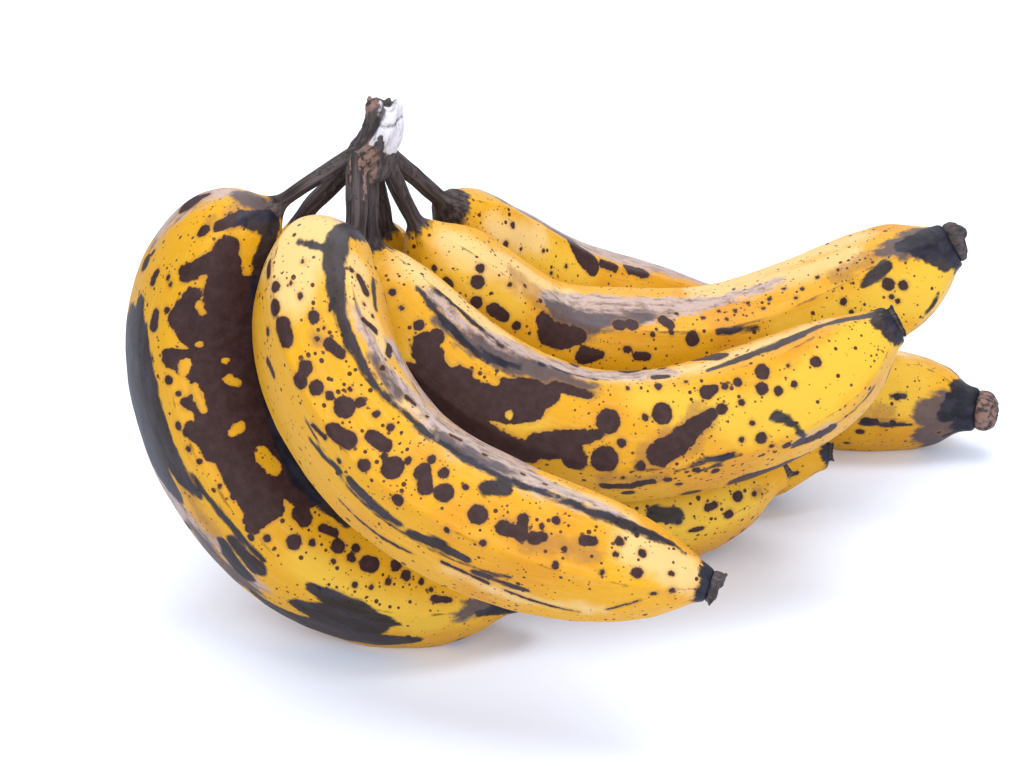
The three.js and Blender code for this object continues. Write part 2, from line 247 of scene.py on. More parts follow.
# The marks on each peel. A mark is one disc (mm past the neck, degrees round, radius in mm), or a chain
# of them drawn together. A gap is a place that a blotch leaves clear.
PEEL_MARKS = ("spot", "blotch", "black", "tan", "pale", "lemon", "mauve", "dusk", "speckle")
MARKS = {
    "banana_1": {
        "blotch": (
            ((16, 29, 3.8), (21, 18, 5), (28, 6, 6.5), (34, 6, 7.5), (45, 2, 8.5), (61, 6, 8), (74, 24, 5)),
            ((61, 0, 8), (76, 14, 6), (87, 16, 6.2), (95, 18, 5.5), (97, 36, 2.5)),
            ((19, 30, 3), (25, 47, 1.9)), ((13, 52, 1.6), (9, 47, 2.2)),
            ((30, 34, 3), (36, 37, 3.7), (40, 22, 5)), ((48, 43, 2.8), (50, 25, 5)),
            ((61, 35, 2), (62, 20, 4)), ((68, 39, 2.1), (72, 26, 4)),
            # This chain is painted shade: the side turned towards banana_2, dark in the crease between them.
            ((24, -18, 7), (45, -30, 10), (70, -26, 10), (88, -16, 7), (100, -22, 7)),
        ),
        "gap": (
            ((31, 27, 1.3), (33, 23, 1)), (43, 20, 1), ((50, 31, 1.9), (53, 34, 1.2)), (50, -2, 1.2),
            ((57, -4, 1.8), (59, -9, 1.4)), ((72, 1, 1.8), (73, 8, 1.4)), ((82, -6, 2.2), (88, -8, 2.6)),
            ((57, 27, 1.2), (64, 24, 1)),
        ),
        "spot": (
            (16, 59, 1.6), ((29, 80, 1.1), (31, 80, 1.1)), (28, 63, 0.8), (29, 57, 0.8), (25, 53, 1.1),
            ((37, 62, 1.3), (40, 62, 1.8)), (35, 51, 1), (88, 31, 1.7), ((104, 0, 2.8), (106, 2, 2.4)),
            (108, 23, 2.2), (112, 14, 1.1), (102, 35, 1.1), ((112, -2, 1.4), (116, -5, 1.4)), (119, 4, 2.2),
            (124, -2, 1.4), (124, 8, 1.4), ((129, 6, 2.5), (131, 5, 2.3)), (139, -2, 1.9), (143, 6, 1.6),
            (138, 16, 1.1), (133, 25, 0.8), (148, 10, 1), (151, 18, 0.8), (95, 38, 0.9), (99, 44, 1.1),
            (84, 38, 0.8), (120, 18, 0.8), (128, 28, 0.9), ((152, 28, 1.2), (156, 30, 0.8)), (66, 48, 1.2),
            (72, 46, 1), (76, 42, 0.9), (54, 46, 1.3), (58, 40, 0.9),
        ),
        "black": (
            ((8, 40, 2.4), (5, 24, 3)),
            ((38, 90, 3), (46, 80, 5.2), (56, 77, 6), (66, 76, 5.8), (76, 69, 3.6), (83, 62, 1.4)),
            ((44, 104, 6), (60, 103, 8), (72, 98, 6), (80, 92, 3)),
            ((78, 56, 0.9), (87, 53, 1.2), (96, 51, 1.2), (105, 52, 0.9)), ((97, 63, 2), (105, 65, 3.2)),
            ((119, 46, 2.2), (124, 48, 3.4), (132, 52, 4.4), (139, 55, 2.4), (143, 57, 0.8)),
            # These chains along the lower edge near the tip are partly black peel and partly painted shadow
            # where the finger comes down to the floor.
            ((118, 76, 2.4), (124, 72, 4.5), (132, 70, 6), (137, 66, 3.5)), ((125, 86, 3.5), (134, 86, 3.5)),
            ((109, 108, 1.6), (115, 108, 2.8), (122, 104, 4.4), (131, 99, 5), (140, 92, 3.8), (147, 88, 1.6)),
            ((96, 74, 2), (100, 82, 3.2), (105, 86, 2.6)), ((164, 58, 1.5), (170, 60, 3), (176, 55, 5)),
            # These two chains are painted shade, darkest in the crease against banana_2.
            ((4, 0, 2.5), (13, -12, 3.2), (25, -32, 4.6), (39, -44, 5.6), (59, -49, 6.2), (73, -42, 5.8)),
            ((73, -42, 5.8), (86, -33, 4.8), (96, -25, 4), (106, -24, 3.4), (118, -20, 2)),
        ),
        "tan": (((80, 72, 2.5), (95, 78, 3)), ((10, 50, 3), (4, 60, 4)), (14, 62, 1.5)),
        "mauve": (
            ((8, 98, 3), (16, 112, 4), (24, 114, 2.5)), ((50, 118, 5), (92, 100, 4)),
            ((97, 82, 2), (108, 86, 3)),
        ),
        "dusk": (
            # Dusk along the lower edge and near the tip, under banana_2, is painted shade.
            ((1, 14, 3), (4, 60, 3.5), (5, 84, 3)), ((90, 104, 2.5), (99, 106, 4), (108, 102, 3)),
            ((160, 50, 3), (170, 30, 4)),
        ),
        "speckle": (((104, 12, 5), (125, 22, 7), (148, 22, 5)),),
        # Lemon on the lower side near the tip is painted light on the shaded underside.
        "lemon": (((112, 30, 4), (130, 36, 5), (148, 50, 6), (160, 52, 4)),),
    },
    "banana_2": {
        "spot": (
            ((30, 58, 1.3), (33, 52, 1.5)), (29, 66, 0.8), ((42, 64, 1), (45, 54, 1.2)), (37, 58, 0.7),
            ((50, 40, 1.5), (53, 50, 1.2)), (40, 50, 0.8), (57, 66, 0.9), ((68, 62, 1), (71, 60, 0.8)),
            (77, 60, 0.9), ((88, 60, 0.8), (91, 58, 1)), (100, 60, 0.9), (112, 60, 1), (119, 62, 0.8),
            (35, 131, 1.6), ((39, 127, 2), (42, 127, 1.9)), (34, 110, 0.8), (39, 102, 1.6), (31, 129, 1.3),
            ((46, 96, 1.5), (49, 90, 1.4)), ((43, 158, 0.9), (46, 156, 0.9)), (49, 120, 1.8), (51, 128, 1.8),
            (54, 119, 1.9), (57, 113, 1.2), (61, 108, 2.8), (62, 95, 1.5), (67, 90, 1.1),
            ((64, 125, 2), (68, 120, 2.3)), ((71, 104, 2), (75, 101, 2)), (72, 88, 1.2), (77, 108, 1.1),
            (75, 123, 1.8), (81, 110, 3.1), (83, 98, 1.1), ((88, 96, 1.9), (91, 108, 2.1)), (88, 100, 2),
            (93, 90, 1.6), (88, 86, 1.3), (96, 104, 2.6), (87, 127, 1.6), (106, 108, 2.6),
            ((113, 110, 2), (118, 109, 1.4)), ((117, 97, 1.5), (118, 111, 1.7)),
            ((121, 110, 1.8), (123, 107, 1.4)), (125, 90, 1.2), (122, 98, 0.8),
            ((133, 100, 1.5), (135, 98, 1.3)), (141, 90, 1.3), (147, 94, 1.1), (147, 117, 1.5),
            (155, 108, 0.8), (156, 133, 0.8), (152, 140, 0.8), ((36, 84, 0.7), (38, 88, 0.6)), (42, 96, 0.6),
            (44, 104, 0.7), (58, 96, 0.7), ((24, 140, 1.2), (27, 138, 1)), (38, 146, 1), (100, 92, 0.9),
            (101, 128, 0.9), ((75, 174, 0.3), (87, 176, 0.6), (94, 172, 0.5)),
            ((102, 162, 0.8), (108, 163, 0.5), (113, 166, 0.8)),
            ((117, 168, 0.4), (123, 173, 0.6), (135, -178, 0.3)), ((142, 172, 0.4), (149, 152, 0.4)),
            # Cream is the pale streaks' own colour and also the painted highlight of the pale marks.
            (70, 138, 0.8), (110, 126, 0.9), (129, 112, 0.8), (128, 126, 1), (141, 104, 0.8),
            # Lemon is also the colour of painted light on shaded undersides.
            ((60, 138, 0.7), (64, 134, 0.7)), (139, 124, 0.8), (31, 116, 0.6), (26, 106, 0.6),
        ),
        "black": (
            ((6, 72, 2), (12, 76, 2.8), (20, 77, 3), (27, 79, 2.9), (33, 80, 2.3), (40, 80, 1.8),
             (47, 80, 1.5)),
            ((47, 80, 1.5), (54, 78, 1.3), (60, 77, 1), (72, 72, 0.9), (90, 70, 0.9), (103, 72, 1)),
            ((103, 72, 1), (114, 71, 0.8), (123, 71, 0.9), (134, 73, 1.2), (145, 71, 1.4), (156, 65, 0.8)),
            ((4, 60, 2), (8, 64, 2.8), (14, 68, 2.6)), ((26, 35, 0.9), (37, 41, 1)),
            ((105, 85, 2.1), (109, 79, 2.6)), ((20, 112, 1), (22, 86, 1.5)), ((62, 151, 0.9), (71, 145, 1.1)),
            ((75, 143, 1.3), (82, 145, 1.6), (89, 147, 1.3)),
            ((93, 150, 1.5), (100, 143, 1.9), (107, 147, 1.4)), ((110, 158, 1), (122, 160, 0.9)),
            ((58, 141, 0.3), (75, 151, 0.4), (98, 155, 0.4), (118, 150, 0.4)),
        ),
        "tan": (((114, 106, 1.8), (121, 114, 2.2), (128, 109, 2.4), (137, 111, 2)), (44, 104, 2)),
        # The pale shoulder, tip and upper faces here are partly painted highlight.
        "pale": (
            ((104, 168, 1.6), (120, 174, 2), (140, 174, 1.6)), ((22, 140, 5), (14, 118, 8), (16, 96, 7)),
            ((22, 112, 9), (32, 116, 6)), ((26, 60, 4), (40, 60, 4), (50, 52, 4)),
            ((60, 60, 3), (75, 58, 4), (95, 60, 4), (118, 60, 4), (140, 62, 3)),
            ((145, 90, 5), (158, 100, 5)),
        ),
        "mauve": (
            ((38, 68, 1.2), (47, 65, 1.6), (56, 62, 2.4), (66, 57, 3.4), (80, 54, 5.2), (96, 52, 6.2),
             (108, 57, 5.4)), ((108, 57, 5.4), (117, 60, 4), (127, 63, 2.5), (140, 66, 1.4)),
            ((50, 30, 4), (80, 22, 5), (110, 28, 4)), ((4, 70, 3), (8, 84, 3)),
        ),
        "dusk": (((52, 68, 1), (66, 66, 1.6)), ((84, 66, 1.4), (96, 66, 1.8), (108, 66, 1.4))),
        "speckle": (((34, 112, 7), (62, 108, 8), (90, 104, 7)), ((112, 98, 6), (142, 104, 7))),
    },
    "banana_3": {
        "blotch": (
            ((138, 150, 1.4), (146, 156, 2.4)), ((13, 132, 2), (20, 138, 3.5), (28, 146, 5), (38, 160, 6)),
            ((31, 106, 4.2), (36, 113, 4.6), (45, 116, 6.5), (54, 105, 6.2), (63, 91, 6.2), (68, 79, 3.2)),
            # The first chain here, on the lower side next to banana_2, is partly blotch and partly painted
            # shade.
            ((36, 137, 6), (57, 146, 8), (68, 135, 4)), ((68, 69, 1.4), (81, 70, 1.2)),
            ((70, 125, 4), (77, 114, 3.8), (80, 128, 2.8)), ((77, 112, 3), (85, 102, 1.5)),
            ((101, 119, 3.4), (106, 112, 3.4), (112, 99, 2.6), (117, 92, 1.6)),
            ((88, 155, 1.4), (94, 153, 1.5), (99, 147, 1.5)),
        ),
        "gap": (
            ((34, 92, 1.3), (38, 97, 1.6)), ((47, 94, 1.4), (52, 90, 1.2)), (39, 98, 1.6), (60, 111, 1.3),
        ),
        "spot": (
            (13, 103, 1.1), (18, 103, 0.8), (25, 98, 1.7), (31, 93, 2.4), (87, 90, 3.6), (103, 84, 3.1),
            (87, 123, 3.6), (91, 108, 1.4), (96, 127, 1.4), (98, 86, 1.1), (94, 168, 1.6), (103, 147, 1.2),
            ((117, 73, 2.1), (120, 71, 1.2)), (127, 72, 1.4), (123, 72, 1.1), (103, 60, 1.3),
            ((103, 45, 1.6), (107, 46, 1.2)), (135, 71, 2.3), (133, 84, 1.9), (137, 92, 1.4), (142, 92, 1.1),
            (126, 90, 1.1), (120, 90, 1.7), (127, 110, 0.9), (128, 125, 1.6), (130, 135, 0.8),
            (134, 143, 1.4), (123, 121, 0.8), (151, 82, 1.7), (93, 60, 0.8), (112, 60, 0.7),
            ((117, 132, 1), (120, 130, 0.7)), (110, 138, 1.2), (115, 146, 1.2), (106, 158, 1), (92, 140, 0.8),
            (143, 74, 0.7),
        ),
        "black": (
            ((15, 75, 0.8), (27, 76, 1), (38, 79, 1.2), (47, 76, 1.2), (56, 68, 1)),
            ((17, 63, 0.7), (25, 59, 0.8), (36, 59, 0.8), (48, 61, 0.6)), ((62, 57, 0.6), (82, 52, 0.5)),
            ((134, 113, 2), (136, 118, 1.5), (138, 128, 1), (139, 142, 0.9), (137, 149, 1.9)),
            ((105, 137, 0.4), (113, 129, 0.7), (122, 133, 0.5)), ((110, 142, 0.5), (116, 138, 0.9)),
            ((120, 50, 0.8), (132, 47, 1.9), (148, 46, 1.9), (160, 41, 1.6), (171, 47, 1.6)),
            ((147, 155, 0.3), (162, 147, 0.5)), ((174, 72, 2.5), (176, 100, 4), (176, 130, 3)), (174, 48, 2),
        ),
        "tan": (((98, 121, 4), (110, 106, 5), (114, 92, 4)), ((88, 140, 2), (100, 142, 2))),
        # The pale upper side here is partly painted highlight.
        "pale": (
            ((9, 59, 5), (24, 45, 5), (47, 42, 5)), ((87, 42, 3), (112, 40, 3.5), (137, 34, 3), (162, 30, 2)),
        ),
        "mauve": (
            ((19, 68, 1.4), (31, 68, 2.2), (44, 61, 3), (55, 52, 4.2), (68, 48, 4.6), (80, 40, 4.5),
             (95, 34, 4)), ((95, 34, 4), (108, 36, 2.5)), ((139, 143, 1.2), (146, 154, 2.6)),
        ),
        "dusk": (
            ((27, 79, 1.4), (36, 76, 2.2), (43, 72, 2.6), (55, 67, 3.2), (66, 64, 3), (76, 64, 2.4),
             (84, 60, 1.4)),
        ),
        "lemon": (
            ((96, 70, 4), (112, 84, 6), (126, 104, 8), (140, 110, 10), (155, 100, 9), (169, 92, 8)),
            ((30, 122, 3), (66, 108, 3)),
        ),
        "speckle": (((98, 60, 5), (122, 78, 6)), ((96, 140, 5), (128, 138, 6))),
    },
    "banana_4": {
        "blotch": (
            ((44, -176, 2), (49, -168, 3.8), (57, -171, 3.8), (64, -174, 2.2)),
            ((66, -158, 3), (72, -160, 1.2)),
        ),
        "spot": (
            (10, -129, 0.9), (15, -133, 1.8), (18, -176, 1.4), (20, -162, 2.1), (24, -145, 1.9),
            ((29, -152, 2.1), (33, -154, 1.8)), (38, -155, 1.5), (40, 172, 0.9), (77, 172, 2), (80, 171, 2.1),
            ((90, 164, 1.8), (92, 170, 1.7)), (99, -176, 2.4), (79, -166, 1.2),
            ((82, -160, 1.5), (85, -160, 1.2)), (164, -166, 2.1), (168, -157, 1.6), (163, -153, 0.9),
            (164, -145, 0.9), (149, -170, 1.2), (104, 164, 0.9), (110, 158, 0.8), (116, 162, 0.9),
            (121, 156, 0.8), (128, 160, 0.9), (134, 154, 0.7), (139, 162, 0.8), (145, 156, 0.8),
            (112, 170, 0.8), (125, 168, 0.8), (136, 170, 0.7), (92, 178, 1), (86, 180, 0.9), (152, 158, 0.7),
            (95, 156, 0.8), (28, 178, 0.8), (33, 168, 0.7), (150, -158, 0.8),
        ),
        "black": (
            ((108, 180, 0.9), (121, -176, 0.9)), ((157, -176, 1.3), (161, -179, 2), (166, 177, 2.1)),
            ((170, -115, 0.8), (175, -118, 0.7)), ((174, 163, 2.6), (178, 166, 4.4), (183, 168, 7)),
            ((181, -172, 4), (184, -150, 5), (186, -120, 3)),
        ),
        "tan": (((150, 165, 3), (162, 160, 4)), ((30, 165, 4), (42, 168, 4))),
        # The pale upper faces here are partly painted highlight.
        "pale": (
            ((8, 178, 5), (23, 162, 6), (42, 150, 6), (60, 135, 4)),
            ((105, 128, 4), (135, 136, 5), (158, 145, 4)),
            ((104, 114, 3.5), (122, 109, 5), (143, 106, 5), (164, 114, 4)),
        ),
        "mauve": (
            ((42, 164, 3), (50, 156, 5), (58, 152, 6), (72, 146, 6.4), (88, 146, 5.5), (104, 144, 4)),
            ((104, 144, 4), (118, 140, 2.5), (134, 138, 1.5)), ((56, 172, 3), (70, 166, 3), (86, 160, 2.5)),
        ),
        "dusk": (
            ((44, 170, 2), (50, 172, 5), (58, 176, 5.6), (66, 173, 4.6), (76, 166, 3.2), (86, 158, 2)),
            ((168, 160, 3), (174, 162, 5), (181, 160, 7)),
        ),
        "lemon": (
            ((128, -164, 4), (150, -158, 6), (168, -150, 8), (176, -130, 8)), ((14, -160, 5), (34, -168, 4)),
        ),
        "speckle": (((84, 168, 4), (96, 160, 6), (116, 152, 7), (142, 150, 7), (160, 158, 4)),),
    },
    "banana_5": {
        "blotch": (
            ((52, 142, 2.2), (58, 150, 3.8), (62, 158, 3)), ((66, 150, 1.5), (70, 149, 2)),
            ((78, 145, 2.2), (84, 146, 2.4)),
        ),
        "spot": (
            (23, 162, 1.1), (23, -168, 1.2), (72, 149, 1.9), (184, -170, 1.3),
            ((173, -143, 1.4), (177, -142, 1.2)), (183, -141, 1.2), (172, -127, 1.4), (40, 170, 0.8),
            (52, 172, 0.8), (47, -172, 0.8), (30, -176, 0.7),
        ),
        "black": (
            ((184, 94, 0.8), (190, 93, 0.9), (196, 90, 1.1), (201, 92, 1.4)),
            ((203, 178, 2.4), (202, -150, 2.8)), ((172, -140, 1), (179, -138, 1.2), (190, -136, 0.8)),
            ((182, -170, 1), (187, -172, 1.2)), ((204, 150, 3), (206, 100, 3)),
        ),
        "tan": (((168, -150, 3), (180, -148, 3)),),
        # The pale lower side near the blossom end is partly painted light on its shaded side.
        "pale": (((18, 178, 4), (36, 162, 5)), ((165, 120, 5), (185, 118, 4))),
        "mauve": (
            ((22, 104, 4), (40, 112, 5), (56, 118, 6.5), (80, 114, 8), (104, 106, 7)),
            ((200, -70, 5), (206, -60, 6)),
        ),
        "dusk": (
            ((36, 126, 1.6), (46, 132, 2.4), (54, 130, 2.2)), ((22, 118, 1.6), (32, 120, 1.6)),
            ((197, -110, 6.5), (205, -110, 8)), ((197, -150, 6), (205, -165, 7)),
            ((199, -80, 6), (205, -70, 6)),
        ),
        # Lemon on the lower side near the blossom end is partly painted light on the shaded underside.
        "lemon": (
            ((18, 178, 4), (40, 170, 6), (60, 170, 4)), ((170, -160, 6), (184, -176, 9), (190, 160, 7)),
        ),
    },
    "banana_6": {
        "spot": (
            (175, -27, 1.7), ((166, -27, 1.1), (168, -27, 1.1)), (171, -12, 1.4),
            ((161, -8, 1), (163, -8, 1)), (152, -12, 1.2), (158, -20, 0.8), (180, -20, 0.8),
        ),
        "black": (((152, -31, 2.6), (157, -27, 2.6)),),
        "tan": ((182, -20, 2),),
        "lemon": (((140, -20, 6), (160, -16, 8), (176, -18, 6)),),
        "speckle": (((135, -20, 8), (165, -20, 8)),),
    },
    "banana_7": {
        "spot": (((176, -82, 0.8), (178, -82, 0.8)), (174, -49, 0.9), (168, -60, 0.9)),
        "black": (((186, -120, 1), (188, -100, 1)),),
        "tan": ((172, -70, 3),),
    },
}


# ---- selecting and shaping by hand ----
def only(piece):
    """Makes piece the one selected, active object."""
    if bpy.context.mode != "OBJECT":
        bpy.ops.object.mode_set(mode="OBJECT")
    bpy.ops.object.select_all(action="DESELECT")
    piece.select_set(True)
    bpy.context.view_layer.objects.active = piece


def apply_modifier(piece, kind, **settings):
    """Adds a modifier to piece with these settings and applies it."""
    only(piece)
    modifier = piece.modifiers.new(kind.title(), kind)
    for name, value in settings.items():
        setattr(modifier, name, value)
    bpy.ops.object.modifier_apply(modifier=modifier.name)


def coordinates(piece):
    """The mesh's points as an array with one row each."""
    points = np.empty(len(piece.data.vertices) * 3)
    piece.data.vertices.foreach_get("co", points)
    return points.reshape(-1, 3)


def set_coordinates(piece, points):
    piece.data.vertices.foreach_set("co", np.ascontiguousarray(points).ravel())
    piece.data.update()


def write_attribute(piece, name, values):
    """Stores one number or one vector for each point of the mesh."""
    kind, key = ("FLOAT", "value") if values.ndim == 1 else ("FLOAT_VECTOR", "vector")
    attribute = piece.data.attributes.new(name, kind, "POINT")
    attribute.data.foreach_set(key, values.astype(np.float32).ravel())


# ---- the centre line of a finger, from its CAD solid ----
def fitted_circle(points):
    """The middle and radius of the circle that best fits points in a plane."""
    mean = points.mean(axis=0)
    _, _, axes = np.linalg.svd(points - mean)
    flat = (points - mean) @ axes[:2].T
    rows = np.column_stack([2 * flat, np.ones(len(flat))])
    (u, v, w), *_ = np.linalg.lstsq(rows, (flat**2).sum(axis=1), rcond=None)
    return mean + u * axes[0] + v * axes[1], math.sqrt(w + u * u + v * v)


def rings_of(node):
    """Walks the CAD finger ring by ring, from its neck to its blossom end."""
    walk = bmesh.new()
    walk.from_mesh(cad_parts[node].data)
    bmesh.ops.remove_doubles(walk, verts=walk.verts, dist=WELD)
    low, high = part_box("crown")
    crown = (low + high) / 2
    fans = [point for point in walk.verts if len(point.link_edges) >= FAN_EDGES]
    pole = max(fans, key=lambda point: (point.co - crown).length)
    sectors = len(pole.link_edges)
    seen = {pole}
    layer = [pole]
    rings = [(np.array(pole.co), 0.0)]
    while layer:
        layer = [far for near in layer for edge in near.link_edges
                 if (far := edge.other_vert(near)) not in seen
                 and far.co.z > PRESSED and not seen.add(far)]
        if not RING_SHARE[0] < len(layer) / sectors < RING_SHARE[1]:
            break
        rings.append(fitted_circle(np.array([point.co for point in layer])))
    walk.free()
    middles = np.array([middle for middle, _ in rings[::-1]])
    radii = np.array([radius for _, radius in rings[::-1]])
    return middles, radii


def steady_slopes(known, values):
    """Slopes that keep a curve through these numbers from swinging past them."""
    rise = np.diff(values) / np.diff(known)
    before, after = np.append(rise[0], rise), np.append(rise, rise[-1])
    same_way = before * after > 0
    total = np.where(same_way, before + after, 1.0)
    return np.where(same_way, 2 * before * after / total, 0.0)


def smooth_between(known, values, wanted):
    """A smooth curve through values, which may be numbers or points, read at the wanted places."""
    known = np.asarray(known, float)
    values = np.asarray(values, float)
    slopes = steady_slopes(known, values) if values.ndim == 1 else np.gradient(values, known, axis=0)
    cell = np.clip(np.searchsorted(known, wanted) - 1, 0, len(known) - 2)
    width = known[cell + 1] - known[cell]
    share = (wanted - known[cell]) / width
    shape = (-1,) + (1,) * (values.ndim - 1)
    share, width = share.reshape(shape), width.reshape(shape)
    start, end = values[cell], values[cell + 1]
    rise, fall = slopes[cell] * width, slopes[cell + 1] * width
    return (start * (1 + 2 * share) * (1 - share) ** 2 + rise * share * (1 - share) ** 2
            + end * share**2 * (3 - 2 * share) + fall * share**2 * (share - 1))


def smooth_step(value, low, high):
    share = np.clip((value - low) / (high - low), 0, 1)
    return share * share * (3 - 2 * share)


Line = namedtuple("Line", "points radii places neck length")


def centre_line(node):
    """The route of a finger from inside the crown, with its thickness and where its neck ends."""
    points, radii = rings_of(node)
    radii[-1] = radii[-2]
    low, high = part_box("crown")
    outward = (points[0] - points[1]) / np.linalg.norm(points[0] - points[1])
    apart = np.linalg.norm((np.array(low) + np.array(high))[:2] / 2 - points[0, :2])
    root = points[0] + outward * ROOT_REACH * apart / np.linalg.norm(outward[:2])
    points = np.vstack([root, points])
    radii = np.append(radii[0] * ROOT_SWELL, radii)
    steps = np.linalg.norm(np.diff(points, axis=0), axis=1)
    places = np.append(0, np.cumsum(steps))
    thin = places[radii < NECK_LIMIT]
    neck = thin[thin < places[-1] / 2].max()
    return Line(points, radii, places, neck, places[-1])


# ---- a straight finger, bent along its route ----
def extruded_tube(name, vertices, places, radii):
    """A closed tube along X, extruded one ring after another to these places and radii."""
    bpy.ops.object.select_all(action="DESELECT")
    bpy.ops.mesh.primitive_circle_add(
        vertices=vertices, radius=radii[0], fill_type="NGON", rotation=(0, math.pi / 2, 0),
        location=(places[0], 0, 0))
    piece = bpy.context.object
    piece.name = name
    bpy.ops.object.transform_apply(location=True, rotation=True)
    bpy.ops.object.mode_set(mode="EDIT")
    bpy.ops.mesh.select_all(action="SELECT")
    for place, step, grow in zip(places[1:], np.diff(places), radii[1:] / radii[:-1]):
        bpy.ops.mesh.extrude_region_move(TRANSFORM_OT_translate={"value": (step, 0, 0)})
        bpy.ops.transform.resize(value=(1, grow, grow), center_override=(place, 0, 0))
    bpy.ops.mesh.select_all(action="SELECT")
    bpy.ops.mesh.normals_make_consistent(inside=False)
    bpy.ops.object.mode_set(mode="OBJECT")
    return piece


def straight_finger(name, line):
    """A tube as thick as the finger is all along its line."""
    places = np.linspace(0, line.length, round(line.length / RING_STEP))
    piece = extruded_tube(name, SECTION_POINTS, places, smooth_between(line.places, line.radii, places))
    apply_modifier(piece, "SUBSURF", levels=SUBDIVISIONS, render_levels=SUBDIVISIONS)
    return piece


def around(points):
    """How far round the finger each point is, in radians, and how far from its centre line."""
    return np.arctan2(points[:, 2], points[:, 1]), np.hypot(points[:, 1], points[:, 2])


def ridge_angles(finger):
    """Where the five ridges stand, a little unevenly."""
    chance = np.random.default_rng(finger.seed)
    even = np.arange(RIDGES) * 2 * math.pi / RIDGES
    return even + math.radians(finger.roll) + chance.uniform(-RIDGE_STRAY, RIDGE_STRAY, RIDGES)


def uneven_waves(chance, angle, orders, least):
    """A few waves round a piece, each with a chance height, from least to 1, and a chance start."""
    return sum(chance.uniform(least, 1) * np.cos(order * angle + chance.uniform(0, 6)) for order in orders)


def wrapped(angle):
    return (angle + math.pi) % (2 * math.pi) - math.pi


def from_ridge(finger, along, angle):
    """The angle from each point to the nearest ridge; the ridges waver a little along the finger."""
    waver = RIDGE_WAVER * np.sin(along / RIDGE_WAVE + finger.seed)
    apart = [np.abs(wrapped(angle - ridge - waver)) for ridge in ridge_angles(finger)]
    return np.min(apart, axis=0)


def shape_section(piece, finger, line):
    """Gives the straight finger its five sides, the raised lines on its ridges and a fluted neck."""
    points = coordinates(piece)
    along = points[:, 0]
    angle, radius = around(points)
    fruit = (smooth_step(along, line.neck, line.neck + SHOULDER)
             * (1 - smooth_step(along, line.length - ROUND_END[0], line.length - ROUND_END[1])))
    ridge = from_ridge(finger, along, angle)
    corner = np.sqrt(ridge**2 + RIDGE_ROUND**2)
    half_side = math.pi / RIDGES
    flat = FLAT_MEAN / np.cos(np.maximum(half_side - corner, -half_side))
    grow = 1 + SIDEDNESS * fruit * (flat - 1)
    welt = WELT_HEIGHT * fruit * np.exp(-((ridge * radius / WELT_WIDTH) ** 2))
    dry = 1 - smooth_step(along, line.neck + DRY_NECK[0], line.neck + DRY_NECK[1])
    twist = along / NECK_TWIST
    flutes = (NECK_FLUTES[0] * np.cos(4 * angle + twist + finger.seed)
              + NECK_FLUTES[1] * np.cos(7 * angle - 1.4 * twist))
    grow *= 1 + dry * (NECK_SWELL + flutes)
    points[:, 1:] *= (grow + welt / np.maximum(radius, 1 * MM))[:, None]
    set_coordinates(piece, points)


def route_curve(name, line):
    """The centre line as a smooth curve for the Curve modifier."""
    curve = bpy.data.curves.new(name, "CURVE")
    curve.dimensions = "3D"
    curve.twist_mode = "MINIMUM"
    spline = curve.splines.new("POLY")
    wanted = np.linspace(0, line.length, ROUTE_POINTS)
    points = smooth_between(line.places, line.points, wanted)
    spline.points.add(len(points) - 1)
    spline.points.foreach_set("co", np.column_stack([points, np.ones(len(points))]).ravel())
    route = bpy.data.objects.new(name, curve)
    bpy.context.collection.objects.link(route)
    return route


def bend(piece, finger, line):
    """Turns the straight finger about its own line and lays it along its route."""
    points = coordinates(piece)
    turn = math.radians(finger.turn)
    right, up = points[:, 1].copy(), points[:, 2].copy()
    points[:, 1] = right * math.cos(turn) - up * math.sin(turn)
    points[:, 2] = right * math.sin(turn) + up * math.cos(turn)
    set_coordinates(piece, points)
    route = route_curve(piece.name + "_route", line)
    apply_modifier(piece, "CURVE", object=route, deform_axis="POS_X")
    bpy.data.objects.remove(route)


def roughen(piece, texture, depth, share=1.0):
    """Displaces the surface by a pattern and presses its belly flat where it rests."""
    smooth = coordinates(piece)
    apply_modifier(piece, "DISPLACE", texture=bpy.data.textures[texture], strength=depth, mid_level=0.5,
                   texture_coords="LOCAL")
    points = smooth + (coordinates(piece) - smooth) * share
    points[:, 2] = np.maximum(points[:, 2], 0)
    set_coordinates(piece, points)


# ---- marks on a peel ----
def distance_to_mark(mark, along, angle, girth):
    """How far each point lies outside a mark, in mm and along the peel; inside it is negative."""
    chain = mark if isinstance(mark[0], tuple) else (mark, mark)
    nearest = np.full(len(along), FAR)
    for (start, start_turn, start_size), (end, end_turn, end_size) in zip(chain[:-1], chain[1:]):
        right = along - start
        up = wrapped(angle - math.radians(start_turn)) * girth
        run = end - start
        rise = wrapped(math.radians(end_turn - start_turn)) * girth
        share = np.clip((right * run + up * rise) / np.maximum(run**2 + rise**2, 1e-6), 0, 1)
        size = start_size + (end_size - start_size) * share
        nearest = np.minimum(nearest, np.hypot(right - share * run, up - share * rise) - size)
    return nearest


def outside(marks, along, angle, girth):
    """How far each point lies outside all of these marks."""
    nearest = np.full(len(along), FAR)
    for mark in marks:
        nearest = np.minimum(nearest, distance_to_mark(mark, along, angle, girth))
    return nearest


